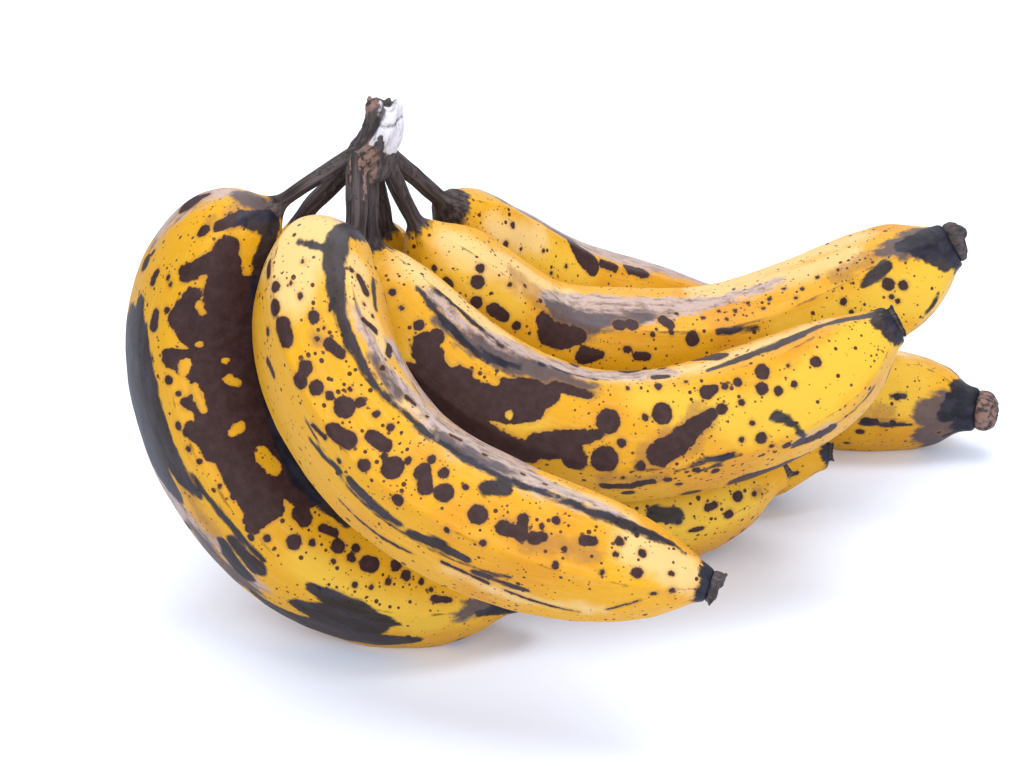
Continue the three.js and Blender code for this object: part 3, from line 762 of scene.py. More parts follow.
def chance_marks(finger, length):
    """Round spots and larger blotches at random places on the sides whose marks aren't listed."""
    chance = np.random.default_rng(finger.seed)
    middle, half = finger.front

    def place():
        while True:
            along = chance.uniform(CLEAR_ENDS[0], length - CLEAR_ENDS[1])
            turn = chance.uniform(-180, 180)
            apart = abs((turn - middle + 180) % 360 - 180)
            if apart > half or (finger.node in HIDDEN_SHOULDERS and along < HIDDEN_LENGTH):
                return along, turn

    spots = [(*place(), chance.choice(SPOT_SIZES)) for _ in range(CHANCE_SPOTS)]
    blotches = []
    for _ in range(CHANCE_BLOTCHES):
        along, turn = place()
        size = chance.uniform(*BLOTCH_SIZES)
        chain = [(along, turn, size)]
        for _ in range(chance.integers(*BLOTCH_LINKS)):
            along += chance.uniform(*BLOTCH_STEP)
            turn += chance.uniform(*BLOTCH_SWING)
            chain.append((along, turn, size * chance.uniform(*BLOTCH_TAPER)))
        blotches.append(tuple(chain))
    return spots, blotches


def store_marks(piece, finger, line):
    """Writes what the peel's material reads: its own straight coordinates and the marks, in mm."""
    points = coordinates(piece) / MM
    angle, radius = around(points)
    neck, length = line.neck / MM, line.length / MM
    along = points[:, 0] - neck
    marks = MARKS[finger.node]
    spots, blotches = chance_marks(finger, length - neck)
    girth = np.maximum(radius, LEAST_GIRTH)
    gap = {kind: outside(marks.get(kind, ()), along, angle, girth) for kind in (*PEEL_MARKS, "gap")}
    gap["blotch"] = np.minimum(np.maximum(gap["blotch"], -gap["gap"]),
                               outside(blotches, along, angle, girth))
    gap["spot"] = np.minimum(gap["spot"], outside(spots, along, angle, girth))
    for kind in PEEL_MARKS:
        write_attribute(piece, kind, gap[kind])
    write_attribute(piece, "grown", points)
    write_attribute(piece, "bark", along - finger.bark)
    write_attribute(piece, "cap", length - points[:, 0] - finger.cap)
    write_attribute(piece, "ridge", from_ridge(finger, points[:, 0] * MM, angle) * girth)


# ---- nodes of a material ----
def add(tree, kind, settings=None, **sockets):
    """Adds a node. A socket is given by its name, with _ for a space, as a value or a link."""
    node = tree.nodes.new("ShaderNode" + kind)
    for name, value in (settings or {}).items():
        setattr(node, name, value)
    for name, value in sockets.items():
        connect(tree, node.inputs[name.replace("_", " ")], value)
    return node


def connect(tree, socket, value):
    if isinstance(value, bpy.types.NodeSocket):
        tree.links.new(value, socket)
    else:
        socket.default_value = value


def maths(tree, operation, first, second=0.0):
    node = tree.nodes.new("ShaderNodeMath")
    node.operation = operation
    connect(tree, node.inputs[0], first)
    connect(tree, node.inputs[1], second)
    return node.outputs[0]


def blend(tree, share, under, over):
    """One colour over another."""
    node = tree.nodes.new("ShaderNodeMix")
    node.data_type = "RGBA"
    connect(tree, node.inputs[0], share)
    connect(tree, node.inputs[6], under if isinstance(under, bpy.types.NodeSocket) else (*under, 1))
    connect(tree, node.inputs[7], over if isinstance(over, bpy.types.NodeSocket) else (*over, 1))
    return node.outputs[2]


def between(tree, share, low, high):
    """A number that goes from low to high as share goes from 0 to 1."""
    return add(tree, "MapRange", None, Value=share, To_Min=low, To_Max=high).outputs[0]


def step(tree, value, start, end):
    """0 before start and 1 past end, smoothly."""
    return add(tree, "MapRange", {"interpolation_type": "SMOOTHSTEP"},
               Value=value, From_Min=start, From_Max=end).outputs[0]


def read(tree, name, output="Fac"):
    """An attribute that was stored on the mesh."""
    return add(tree, "Attribute", {"attribute_name": name}).outputs[output]


def noise(tree, vector, scale, detail=2.0, roughness=0.5):
    return add(tree, "TexNoise", None, Vector=vector, Scale=scale, Detail=detail,
               Roughness=roughness).outputs["Fac"]


def drawn_out(tree, vector, share):
    """The same coordinates with this share of their length, so that a pattern runs along the peel."""
    node = tree.nodes.new("ShaderNodeVectorMath")
    node.operation = "MULTIPLY"
    connect(tree, node.inputs[0], vector)
    node.inputs[1].default_value = (share, 1, 1)
    return node.outputs[0]


def new_group(name, inputs, outputs):
    """An empty node group with these sockets, its input sockets and its output node."""
    tree = bpy.data.node_groups.new(name, "ShaderNodeTree")
    for label, kind, value in inputs:
        socket = tree.interface.new_socket(name=label, in_out="INPUT", socket_type="NodeSocket" + kind)
        if value is not None:
            socket.default_value = value
    for label in outputs:
        tree.interface.new_socket(name=label, in_out="OUTPUT", socket_type="NodeSocketFloat")
    return tree, tree.nodes.new("NodeGroupInput").outputs, tree.nodes.new("NodeGroupOutput")


def ragged_group():
    """A mark with a ragged edge, from how far each point lies outside it."""
    tree, given, result = new_group(
        "Ragged mark",
        (("Outside", "Float", 0.0), ("Grown", "Vector", None), ("Ragged", "Float", 0.5),
         ("Grain", "Float", 0.5), ("Soft", "Float", 0.2)),
        ("Mask",))
    stray = maths(tree, "SUBTRACT", noise(tree, given["Grown"], given["Grain"], 3.0, 0.6), 0.5)
    edge = maths(tree, "MULTIPLY", maths(tree, "MULTIPLY", stray, NOISE_SPREAD), given["Ragged"])
    edge = maths(tree, "ADD", edge, given["Outside"])
    back = maths(tree, "MULTIPLY", given["Soft"], -1.0)
    mask = add(tree, "MapRange", {"interpolation_type": "SMOOTHSTEP"}, Value=edge,
               From_Min=given["Soft"], From_Max=back)
    tree.links.new(mask.outputs[0], result.inputs["Mask"])
    return tree


def fleck_group():
    """Small round flecks, of uneven size, some of them left out."""
    tree, given, result = new_group(
        "Flecks",
        (("Grown", "Vector", None), ("Per mm", "Float", 0.4), ("Size", "Float", 0.2),
         ("Share", "Float", 0.5)),
        ("Mask",))
    cells = add(tree, "TexVoronoi", None, Vector=given["Grown"], Scale=given["Per mm"])
    parts = add(tree, "SeparateColor", None, Color=cells.outputs["Color"]).outputs
    kept = maths(tree, "LESS_THAN", parts["Red"], given["Share"])
    reach = maths(tree, "MULTIPLY", given["Size"], between(tree, parts["Green"], LEAST_FLECK, 1.0))
    inside = maths(tree, "SUBTRACT", reach, cells.outputs["Distance"])
    mask = maths(tree, "MULTIPLY", step(tree, inside, *FLECK_SOFT), kept)
    tree.links.new(mask, result.inputs["Mask"])
    return tree


def fibre_group():
    """Fine lengthwise fibres: along the finger the pattern is drawn out."""
    tree, given, result = new_group(
        "Fibres",
        (("Grown", "Vector", None), ("Fineness", "Float", 1.0)),
        ("Height",))
    drawn = drawn_out(tree, given["Grown"], FIBRE_DRAWN)
    tree.links.new(noise(tree, drawn, given["Fineness"], 4.0, 0.6), result.inputs["Height"])
    return tree


def use(tree, name, **sockets):
    """Places one of the shared groups."""
    node = tree.nodes.new("ShaderNodeGroup")
    node.node_tree = bpy.data.node_groups[name]
    for label, value in sockets.items():
        connect(tree, node.inputs[label.replace("_", " ")], value)
    return node.outputs[0]


def ragged(tree, kind, grown, gap=None):
    """Where marks of this kind are, from 0 to 1. The gap to them is the stored one if none is given."""
    gap = gap or read(tree, kind)
    stray, grain, soft, share = EDGES[kind]
    return use(tree, "Ragged mark", Outside=gap, Grown=drawn_out(tree, grown, share), Ragged=stray,
               Grain=grain, Soft=soft)


def emboss(tree, shader, height, strength):
    """Roughens the shading by a height in mm."""
    bump = add(tree, "Bump", None, Strength=strength, Distance=MM, Height=height)
    tree.links.new(bump.outputs[0], shader.inputs["Normal"])


def painted(tree, mask, strength, colour, paint):
    """Colour with paint on it where the mask is, at this strength."""
    return blend(tree, maths(tree, "MULTIPLY", mask, strength), colour, paint)


def new_material(name):
    """A material with its Principled shader and its tree."""
    material = bpy.data.materials.new(name)
    material.use_nodes = True
    return material, material.node_tree, material.node_tree.nodes["Principled BSDF"]


# What the layers of a peel share: its tree, its colours, its own coordinates and two patterns.
Peel = namedtuple("Peel", "tree skin grown mottle fibres")


def ground_colour(peel, freshness):
    """Yellow to orange peel with its brightest and palest places, partly painted light, and its soft bruises.
    """
    tree, skin, grown, mottle, fibres = peel
    ripe = 1 - freshness
    cloud = step(tree, noise(tree, grown, CLOUD_GRAIN, 3.0), 0.62 - 0.25 * ripe, 0.36 - 0.1 * ripe)
    colour = blend(tree, cloud, skin.yellow, skin.orange)
    colour = painted(tree, step(tree, mottle, 0.5, 0.8), 0.35, colour, skin.orange)
    colour = painted(tree, step(tree, fibres, 0.45, 0.75), 0.14, colour, skin.cream_and_highlight)
    # Brighter peel, partly painted light on shaded undersides.
    colour = painted(tree, ragged(tree, "lemon", grown), 0.8, colour, skin.lemon)
    # Cream peel and painted highlight.
    colour = painted(tree, ragged(tree, "pale", grown), 0.75, colour, skin.cream_and_highlight)
    return painted(tree, ragged(tree, "tan", grown), between(tree, mottle, 0.2, 1.0), colour, skin.tan)


def flecked(peel, colour):
    """Fine flecks all over, in crowds, and thicker ones in the listed places."""
    tree, skin, grown = peel.tree, peel.skin, peel.grown
    crowd = step(tree, noise(tree, grown, CROWD_GRAIN, 2.0), 0.38, 0.62)
    for per_mm, size, most, strength in FLECKS:
        flecks = use(tree, "Flecks", Grown=grown, Per_mm=per_mm, Size=size,
                     Share=between(tree, crowd, 0.2 * most, most))
        colour = painted(tree, flecks, strength, colour, skin.fleck)
    per_mm, size, most = SPECKLE
    thick = maths(tree, "MULTIPLY", ragged(tree, "speckle", grown), most)
    speckle = use(tree, "Flecks", Grown=grown, Per_mm=per_mm, Size=size, Share=thick)
    return blend(tree, speckle, colour, skin.fleck)


def banded(peel, colour):
    """The brown line on each ridge, and the greyed and darkened bands along it; part of the darkening is
    painted shade.
    """
    tree, skin, grown, mottle, _ = peel
    line = ragged(tree, "ridge", grown, maths(tree, "SUBTRACT", read(tree, "ridge"), RIDGE_LINE))
    colour = painted(tree, line, 0.75, colour, skin.fleck)
    smudges = noise(tree, drawn_out(tree, grown, SMUDGE_DRAWN), SMUDGE_GRAIN, 4.0, 0.7)
    tone = blend(tree, step(tree, smudges, 0.42, 0.7), skin.mauve, skin.smoke)
    colour = painted(tree, ragged(tree, "mauve", grown), between(tree, mottle, 0.7, 1.0), colour, tone)
    # Darkened peel, partly painted shade.
    tone = blend(tree, step(tree, mottle, 0.35, 0.7), skin.dusk, skin.smoke)
    return painted(tree, ragged(tree, "dusk", grown), 0.95, colour, tone)


def spotted(peel, colour):
    """Spots and blotches with a tan edge, a few of them partly painted shade. Returns where they are, too."""
    tree, skin, grown, mottle, _ = peel
    spot_gap = read(tree, "spot")
    blotch_gap = read(tree, "blotch")
    edge = maths(tree, "SUBTRACT", maths(tree, "MINIMUM", spot_gap, blotch_gap), HALO)
    colour = painted(tree, ragged(tree, "halo", grown, edge), 0.4, colour, skin.tan)
    brown = maths(tree, "MAXIMUM", ragged(tree, "spot", grown, spot_gap),
                  ragged(tree, "blotch", grown, blotch_gap))
    tone = blend(tree, step(tree, mottle, 0.3, 0.75), skin.maroon, skin.plum)
    return blend(tree, brown, colour, tone), brown


def blackened(peel, colour):
    """Black streaks, some of them painted shade, the black tip and the dried neck. Returns where each of them
    is, too.
    """
    tree, skin, grown, _, fibres = peel
    greyed = noise(tree, drawn_out(tree, grown, SLATE_DRAWN), 0.3, 4.0, 0.6)
    tone = blend(tree, step(tree, greyed, 0.35, 0.7), skin.black, skin.slate)
    # Black streaks, and on banana_1 painted shade in its crease and along its lower edge.
    black = ragged(tree, "black", grown)
    colour = painted(tree, black, 0.97, colour, tone)
    cap = ragged(tree, "cap", grown)
    colour = blend(tree, cap, colour, tone)
    bark = ragged(tree, "bark", grown)
    tone = blend(tree, step(tree, fibres, 0.35, 0.65), skin.bark, skin.ash)
    return blend(tree, bark, colour, tone), black, cap, bark


def peel_material(name, freshness):
    """A ripe banana's peel. Freshness is how yellow it is, from 0 to 1."""
    skin = bpy.context.scene.banana_hand.skin
    material, tree, shader = new_material(name)
    grown = read(tree, "grown", "Vector")
    mottle = noise(tree, grown, MOTTLE_GRAIN, 4.0, 0.65)
    fibres = use(tree, "Fibres", Grown=grown, Fineness=0.9)
    peel = Peel(tree, skin, grown, mottle, fibres)
    colour, brown = spotted(peel, banded(peel, flecked(peel, ground_colour(peel, freshness))))
    colour, black, cap, bark = blackened(peel, colour)
    tree.links.new(colour, shader.inputs["Base Color"])
    shader.inputs["Specular IOR Level"].default_value = skin.sheen

    rough = between(tree, mottle, skin.gloss - 0.06, skin.gloss + 0.10)
    rough = between(tree, brown, rough, BROWN_ROUGHNESS)
    rough = between(tree, maths(tree, "MAXIMUM", black, cap), rough, BLACK_ROUGHNESS)
    rough = between(tree, bark, rough, BARK_ROUGHNESS)
    tree.links.new(rough, shader.inputs["Roughness"])

    height = maths(tree, "MULTIPLY", noise(tree, grown, 1.3, 3.0), PORE_HEIGHT)
    height = maths(tree, "ADD", height, maths(tree, "MULTIPLY", fibres, FIBRE_HEIGHT))
    height = maths(tree, "SUBTRACT", height, maths(tree, "MULTIPLY", brown, BROWN_SINK))
    grooves = maths(tree, "MULTIPLY", use(tree, "Fibres", Grown=grown, Fineness=1.6), BARK_HEIGHT)
    dry = maths(tree, "MAXIMUM", bark, cap)
    height = maths(tree, "ADD", height, maths(tree, "MULTIPLY", dry, grooves))
    emboss(tree, shader, height, 0.6)
    return material


def bark_material():
    """Dried, fibrous bark on the crown and the blossom ends, with any bleached skin still on it."""
    skin = bpy.context.scene.banana_hand.skin
    material, tree, shader = new_material("dried_bark")
    grown = read(tree, "grown", "Vector")
    fibres = use(tree, "Fibres", Grown=grown, Fineness=1.1)
    mottle = noise(tree, grown, 0.5, 4.0, 0.65)
    colour = blend(tree, step(tree, fibres, 0.3, 0.7), skin.bark, skin.ash)
    colour = painted(tree, step(tree, mottle, 0.5, 0.7), 0.6, colour, skin.black)
    scar_tone = blend(tree, step(tree, mottle, 0.46, 0.62), skin.scar, skin.bark)
    colour = painted(tree, ragged(tree, "scar", grown), 0.9, colour, scar_tone)
    paper = ragged(tree, "paper", grown)
    paper_tone = painted(tree, step(tree, fibres, 0.56, 0.74), 0.7, skin.paper, skin.ash)
    colour = painted(tree, paper, 0.95, colour, paper_tone)
    colour = painted(tree, ragged(tree, "groove", grown), 0.9, colour, skin.bark)
    tree.links.new(colour, shader.inputs["Base Color"])
    tree.links.new(between(tree, paper, 0.85, 0.5), shader.inputs["Roughness"])
    height = maths(tree, "ADD", fibres, maths(tree, "MULTIPLY", mottle, 0.8))
    emboss(tree, shader, height, 0.8)
    return material


def wear(piece, material, node):
    """Gives a finished piece its material and smooth shading, hangs it on the root body and hides the CAD
    part it takes the place of.
    """
    piece.data.materials.clear()
    piece.data.materials.append(material)
    only(piece)
    bpy.ops.object.shade_smooth()
    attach(piece, "root")
    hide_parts(node)


# ---- the pieces ----
def make_finger(finger, material):
    """The peel of one finger, neck and all."""
    line = centre_line(finger.node)
    piece = straight_finger(finger.node + "_peel", line)
    shape_section(piece, finger, line)
    store_marks(piece, finger, line)
    bend(piece, finger, line)
    roughen(piece, "peel_dimples", DIMPLE_DEPTH)
    wear(piece, material, finger.node)


def make_blossom_end(finger, material):
    """The dried stub where the flower was: a short collar, hollow or domed, with a withered tuft."""
    line = centre_line(finger.node)
    chance = np.random.default_rng(finger.seed + STUB_SEEDS)
    stub = finger.stub
    half, length = stub.width / 2 * MM, stub.length * MM
    reach, share = np.array(stub.rings).T
    places = line.length + reach * length
    places[0] = line.length - STUB_DEPTH
    piece = extruded_tube(finger.node + "_blossom_end", STUB_POINTS, places, share * half)
    points = coordinates(piece)
    angle, radius = around(points)
    out = smooth_step(points[:, 0], line.length - STUB_FADE, line.length + length)
    rim = np.minimum(radius / half, 1)
    points[:, 0] += out * uneven_waves(chance, angle, (2, 3, 5, 8), 0.4) * FRAY * length * rim
    turned = wrapped(angle - math.radians(TUFT_TURN))
    points[:, 0] += out * rim * stub.tuft * MM * np.exp(-((turned / TUFT_WIDTH) ** 2))
    points += chance.normal(0, STUB_STRAY, points.shape) * out[:, None] * half
    swing = uneven_waves(chance, angle, (2, 3, 4, 7), 0.4)
    points[:, 1:] *= (1 + STUB_SWING * swing * (0.3 + out))[:, None]
    set_coordinates(piece, points)
    apply_modifier(piece, "SUBSURF", levels=SUBDIVISIONS, render_levels=SUBDIVISIONS)
    grown = coordinates(piece) / MM
    write_attribute(piece, "grown", grown)
    write_attribute(piece, "paper", np.full(len(grown), FAR))
    write_attribute(piece, "scar", np.full(len(grown), PALE_STUB if finger.slot == "peel_pale" else FAR))
    write_attribute(piece, "groove", np.hypot(grown[:, 1], grown[:, 2]) - stub.width / 2 * stub.black)
    bend(piece, finger, line)
    roughen(piece, "bark_grain", STUB_ROUGHNESS)
    wear(piece, material, finger.node)


def crown_outline():
    """The CAD crown's rings: height, middle and half widths of each."""
    points = np.array([vertex.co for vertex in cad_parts["crown"].data.vertices])
    levels = np.round(points[:, 2], 4)
    rows = []
    for level in np.unique(levels):
        ring = points[levels == level]
        low, high = ring.min(axis=0), ring.max(axis=0)
        rows.append((level, *((low + high) / 2)[:2], *((high - low) / 2)[:2]))
    return np.array(rows)


def around_crown(points, heights, rows):
    """The crown's middle at the height of each point, and the point's offset and angle from it."""
    middle = smooth_between(heights, rows[:, :2], np.clip(points[:, 2], heights[0], heights[-1]))
    offset = points[:, :2] - middle
    return middle, offset, np.arctan2(offset[:, 1], offset[:, 0])


def melt_collars(piece, top, underside):
    """Adds the lobe of the torn top and a collar of bark for each neck, melted into one body."""
    parts = [piece]
    bpy.ops.mesh.primitive_uv_sphere_add(segments=COLLAR_POINTS, ring_count=12, radius=1)
    lobe = bpy.context.object
    lobe.location = (top[0] + LOBE[0] * MM, top[1] + LOBE[1] * MM, underside + LOBE[2] * MM)
    lobe.scale = [size * MM for size in LOBE_SIZE]
    parts.append(lobe)
    for finger in FINGERS:
        line = centre_line(finger.node)
        outward = Vector(line.points[1] - line.points[2]).normalized()
        end = Vector(line.points[1]) - outward * COLLAR_LENGTH
        root = Vector(line.points[0])
        bpy.ops.mesh.primitive_cone_add(
            vertices=COLLAR_POINTS, radius1=line.radii[1] + COLLAR_RIM, radius2=line.radii[1] * COLLAR_SWELL,
            depth=(root - end).length, location=(root + end) / 2,
            rotation=(root - end).to_track_quat("Z", "Y").to_euler())
        parts.append(bpy.context.object)
    only(piece)
    for part in parts:
        part.select_set(True)
    bpy.ops.object.join()
    apply_modifier(piece, "REMESH", mode="VOXEL", voxel_size=VOXEL)
    apply_modifier(piece, "SMOOTH", factor=0.5, iterations=MELT_ROUNDS)


def stump_of_rings(heights, rows):
    """Extrudes the stump ring by ring, from its underside to the hollow in its top."""
    bpy.ops.object.select_all(action="DESELECT")
    bpy.ops.mesh.primitive_circle_add(vertices=CROWN_POINTS, radius=1, fill_type="NGON",
                                      location=(rows[0, 0], rows[0, 1], heights[0]))
    piece = bpy.context.object
    piece.name = "crown_stump"
    piece.scale = (rows[0, 2], rows[0, 3], 1)
    bpy.ops.object.transform_apply(location=True, scale=True)
    bpy.ops.object.mode_set(mode="EDIT")
    bpy.ops.mesh.select_all(action="SELECT")
    middles = np.column_stack([rows[:, :2], heights])
    for middle, move, grow in zip(middles[1:], np.diff(middles, axis=0), rows[1:, 2:] / rows[:-1, 2:]):
        bpy.ops.mesh.extrude_region_move(TRANSFORM_OT_translate={"value": move})
        bpy.ops.transform.resize(value=(*grow, 1), center_override=middle)
    for sink, shrink in CROWN_HOLLOW:
        bpy.ops.mesh.extrude_region_move(TRANSFORM_OT_translate={"value": (0, 0, -sink)})
        bpy.ops.transform.resize(value=(shrink, shrink, 1), center_override=middles[-1])
    bpy.ops.mesh.select_all(action="SELECT")
    bpy.ops.mesh.normals_make_consistent(inside=False)
    bpy.ops.object.mode_set(mode="OBJECT")
    return piece


def flute_and_tear(piece, heights, rows, underside, ceiling):
    """Gives the stump its lengthwise flutes and a torn top with one spur, below the ceiling."""
    chance = np.random.default_rng(CROWN_SEED)
    points = coordinates(piece)
    middle, offset, angle = around_crown(points, heights, rows)
    rise = (points[:, 2] - underside) / MM
    flutes = sum(depth * np.cos(order * angle - lean * rise) for depth, order, lean in CROWN_FLUTES)
    points[:, :2] = middle + offset * (1 + flutes)[:, None]
    torn = smooth_step(points[:, 2], heights[-1] - TORN_LENGTH, heights[-1])
    outer = np.minimum(np.hypot(offset[:, 0], offset[:, 1]) / rows[-1, 2], 1)
    frayed = uneven_waves(chance, angle, (2, 5, 9, 13), 0.5)
    spur = np.exp(-((wrapped(angle - math.radians(SPUR_TURN)) / SPUR_WIDTH) ** 2))
    points[:, 2] += torn * outer * (TORN_DEPTH * frayed + SPUR_HEIGHT * spur)
    points[:, 2] = np.minimum(points[:, 2], ceiling)
    set_coordinates(piece, points)
    apply_modifier(piece, "SUBSURF", levels=SUBDIVISIONS, render_levels=SUBDIVISIONS)


def mark_crown(piece, heights, rows, underside):
    """Writes what the bark's material reads, lifts the bleached skin and sinks the grooves."""
    points = coordinates(piece)
    _, offset, angle = around_crown(points, heights, rows)
    offset = offset / MM
    radius = np.maximum(np.hypot(offset[:, 0], offset[:, 1]), LEAST_CROWN)
    rise = (points[:, 2] - underside) / MM
    gap = {kind: outside(marks, rise, angle, radius) for kind, marks in CROWN_MARKS.items()}
    lift = (PAPER_LIFT * smooth_step(-gap["paper"], *PAPER_EDGE)
            - GROOVE_DEPTH * smooth_step(-gap["groove"], *GROOVE_EDGE))
    points[:, :2] += offset / radius[:, None] * lift[:, None]
    set_coordinates(piece, points)
    for kind, values in gap.items():
        write_attribute(piece, kind, values)
    write_attribute(piece, "grown", np.column_stack([rise, offset]))
    smoother = PAPER_SMOOTH * smooth_step(-gap["paper"], -0.5, 0.5)
    roughen(piece, "bark_grain", BARK_DEPTH, (1 - smoother)[:, None])


def make_crown(material):
    """The dried cushion: a fibrous stump with a frayed top, a scar and a scrap of bleached skin."""
    outline = crown_outline()
    underside, top = outline[0, 0], outline[-1, 0]
    heights = np.linspace(underside + CROWN_LIFT, top - CROWN_DROP, CROWN_RINGS)
    rows = smooth_between(outline[:, 0], outline[:, 1:], heights)
    waist = CROWN_WAIST * np.exp(-(((heights - underside - WAIST_RISE) / WAIST_WIDTH) ** 2))
    rows[:, 0] += waist
    rows[:, 2] -= waist
    piece = stump_of_rings(heights, rows)
    flute_and_tear(piece, heights, rows, underside, top + CROWN_CEILING)
    melt_collars(piece, rows[-1, :2], underside)
    mark_crown(piece, heights, rows, underside)
    wear(piece, material, "crown")


def make_textures():
    """The two patterns that roughen the surfaces themselves."""
    dimples = bpy.data.textures.new("peel_dimples", "CLOUDS")
    dimples.noise_scale = DIMPLE_GRAIN
    dimples.noise_depth = 2
    grain = bpy.data.textures.new("bark_grain", "CLOUDS")
    grain.noise_scale = BARK_GRAIN
    grain.noise_depth = 3


# ---- the floor, the lights and the camera ----
def add_light(name, energy, size, place, aim, colour):
    """A soft, square light at place, shining at aim."""
    bpy.ops.object.light_add(type="AREA", location=place)
    light = bpy.context.object
    light.name = name
    light.data.energy = energy
    light.data.size = size
    light.data.color = colour
    light.rotation_euler = (Vector(aim) - Vector(place)).to_track_quat("-Z", "Y").to_euler()


def make_stage():
    """A white floor and sky, soft lights and the camera."""
    stage = bpy.context.scene.banana_hand.stage
    bpy.ops.object.select_all(action="DESELECT")
    bpy.ops.mesh.primitive_plane_add(size=FLOOR_SIZE)
    floor = bpy.context.object
    floor.name = "floor"
    material, _, shader = new_material("white_paper")
    shader.inputs["Base Color"].default_value = (*stage.floor, 1)
    shader.inputs["Roughness"].default_value = 0.9
    shader.inputs["Specular IOR Level"].default_value = 0.1
    shader.inputs["Emission Color"].default_value = (*stage.glow, 1)
    shader.inputs["Emission Strength"].default_value = 1.0
    floor.data.materials.append(material)

    world = bpy.data.worlds.new("studio")
    bpy.context.scene.world = world
    world.use_nodes = True
    sky = world.node_tree.nodes["Background"]
    sky.inputs["Color"].default_value = (*stage.sky, 1)
    sky.inputs["Strength"].default_value = stage.sky_strength
    for light in LIGHTS:
        add_light(*light)

    aim = Vector(CAMERA_AIM)
    lift = math.radians(stage.elevation)
    place = aim + CAMERA_DISTANCE * Vector((0, -math.cos(lift), math.sin(lift)))
    bpy.ops.object.camera_add(location=place)
    camera = bpy.context.object
    camera.rotation_euler = (aim - place).to_track_quat("-Z", "Y").to_euler()
    camera.data.lens = LENS
    camera.data.sensor_width = SENSOR
    bpy.context.scene.camera = camera
    bpy.context.scene.view_settings.view_transform = "Standard"


# ---- what a user may change ----
def colour_of(name, description, default):
    return FloatVectorProperty(name=name, description=description, default=default, subtype="COLOR",
                               min=0, max=1)


class SkinSettings(PropertyGroup):
    yellow: colour_of("Yellow", "The peel where it is brightest", (0.60, 0.295, 0.005))
    orange: colour_of("Orange", "The peel where it is ripest", (0.55, 0.235, 0.005))
    cream_and_highlight: colour_of("Cream", "The pale streaks and shoulders", (0.68, 0.475, 0.21))
    lemon: colour_of("Lemon", "The brightest yellow peel", (0.65, 0.405, 0.035))
    tan: colour_of("Tan", "Soft bruises and the edges of spots", (0.28, 0.125, 0.030))
    fleck: colour_of("Flecks", "The fine flecks", (0.060, 0.020, 0.010))
    maroon: colour_of("Maroon", "Spots and blotches", (0.026, 0.009, 0.008))
    plum: colour_of("Plum", "The lighter parts of a blotch", (0.044, 0.019, 0.020))
    mauve: colour_of("Mauve", "The greyed bands along a ridge", (0.40, 0.31, 0.315))
    # Smoke also darkens the dusk marks, which are partly painted shade.
    smoke: colour_of("Smoke", "The dark smudges in those bands", (0.074, 0.060, 0.073))
    # Dusk is also the colour of painted shade in creases and under other fingers.
    dusk: colour_of("Dusk", "Peel darkened to brownish mauve", (0.072, 0.046, 0.050))
    # Black also paints the shade in banana_1's crease and along its lower edge.
    black: colour_of("Black", "The blackened skin", (0.0045, 0.0045, 0.010))
    slate: colour_of("Slate", "The greyed part of blackened skin", (0.021, 0.020, 0.036))
    bark: colour_of("Bark", "The dried necks", (0.024, 0.017, 0.018))
    ash: colour_of("Ash", "The greyed ridges of dried bark", (0.088, 0.067, 0.069))
    scar: colour_of("Scar", "The rough brown scar on the crown", (0.25, 0.145, 0.115))
    paper: colour_of("Bleached skin", "The bleached skin on the crown", (0.66, 0.64, 0.70))
    sheen: FloatProperty(name="Sheen", description="How much the peel mirrors", default=0.2,
                         min=0, max=1, subtype="FACTOR")
    gloss: FloatProperty(name="Roughness", description="How rough the yellow peel is", default=0.42,
                         min=0, max=1, subtype="FACTOR")


class StageSettings(PropertyGroup):
    floor: colour_of("Floor", "The floor's colour", (0.80, 0.85, 0.97))
    glow: colour_of("Glow", "The light that comes through the floor", (0.02, 0.03, 0.06))
    sky: colour_of("Sky", "The colour of the light all round", (0.90, 0.95, 1.0))
    sky_strength: FloatProperty(name="Sky strength", description="How bright the light all round is",
                                default=0.70, min=0)
    elevation: FloatProperty(name="Elevation", default=25.0, min=-90, max=90,
                             description="How far above the horizon the camera stands, in degrees")


class HandSettings(PropertyGroup):
    skin: PointerProperty(type=SkinSettings, name="Skin", description="Colours of the peel and bark")
    stage: PointerProperty(type=StageSettings, name="Stage", description="Floor, light and camera")


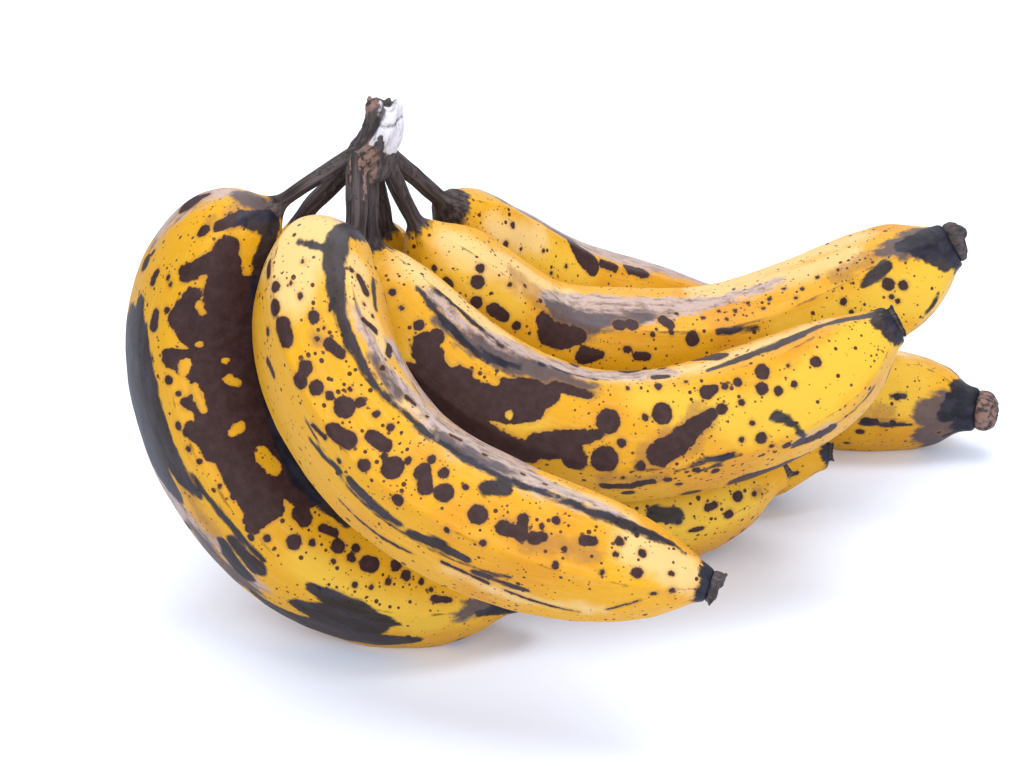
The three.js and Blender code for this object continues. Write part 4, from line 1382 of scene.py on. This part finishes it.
class BANANAS_OT_fingers(Operator):
    """Add the seven fingers of the hand"""
    bl_idname = "bananas.fingers"
    bl_label = "Fingers"

    def execute(self, context):
        make_textures()
        ragged_group()
        fleck_group()
        fibre_group()
        peels = {slot: peel_material(slot, freshness) for slot, freshness in FRESHNESS.items()}
        for finger in FINGERS:
            make_finger(finger, peels[finger.slot])
        return {"FINISHED"}


class BANANAS_OT_blossom_ends(Operator):
    """Add the dried blossom end of each finger"""
    bl_idname = "bananas.blossom_ends"
    bl_label = "Blossom ends"

    def execute(self, context):
        material = bark_material()
        for finger in FINGERS:
            make_blossom_end(finger, material)
        return {"FINISHED"}


class BANANAS_OT_crown(Operator):
    """Add the dried crown that holds the fingers together"""
    bl_idname = "bananas.crown"
    bl_label = "Crown"

    def execute(self, context):
        make_crown(bpy.data.materials["dried_bark"])
        return {"FINISHED"}


class BANANAS_OT_stage(Operator):
    """Add the floor, the lights and the camera"""
    bl_idname = "bananas.stage"
    bl_label = "Stage"

    def execute(self, context):
        make_stage()
        return {"FINISHED"}


class BANANAS_PT_hand(Panel):
    """Lists what the hand of bananas is built from"""
    bl_idname = "BANANAS_PT_hand"
    bl_label = "Hand of Bananas"
    bl_space_type = "VIEW_3D"
    bl_region_type = "UI"
    bl_category = "Bananas"

    def draw(self, context):
        layout = self.layout
        settings = context.scene.banana_hand
        for group in (settings.skin, settings.stage):
            box = layout.box()
            for name in group.__annotations__:
                box.prop(group, name)
        for operator in OPERATORS:
            layout.operator(operator.bl_idname)


OPERATORS = (BANANAS_OT_fingers, BANANAS_OT_blossom_ends, BANANAS_OT_crown, BANANAS_OT_stage)
CLASSES = (SkinSettings, StageSettings, HandSettings, *OPERATORS, BANANAS_PT_hand)


def register():
    for item in CLASSES:
        bpy.utils.register_class(item)
    bpy.types.Scene.banana_hand = PointerProperty(type=HandSettings)


def unregister():
    del bpy.types.Scene.banana_hand
    for item in reversed(CLASSES):
        bpy.utils.unregister_class(item)


def main():
    register()
    bpy.ops.bananas.fingers()
    bpy.ops.bananas.blossom_ends()
    bpy.ops.bananas.crown()
    bpy.ops.bananas.stage()


if __name__ == "__main__":
    main()
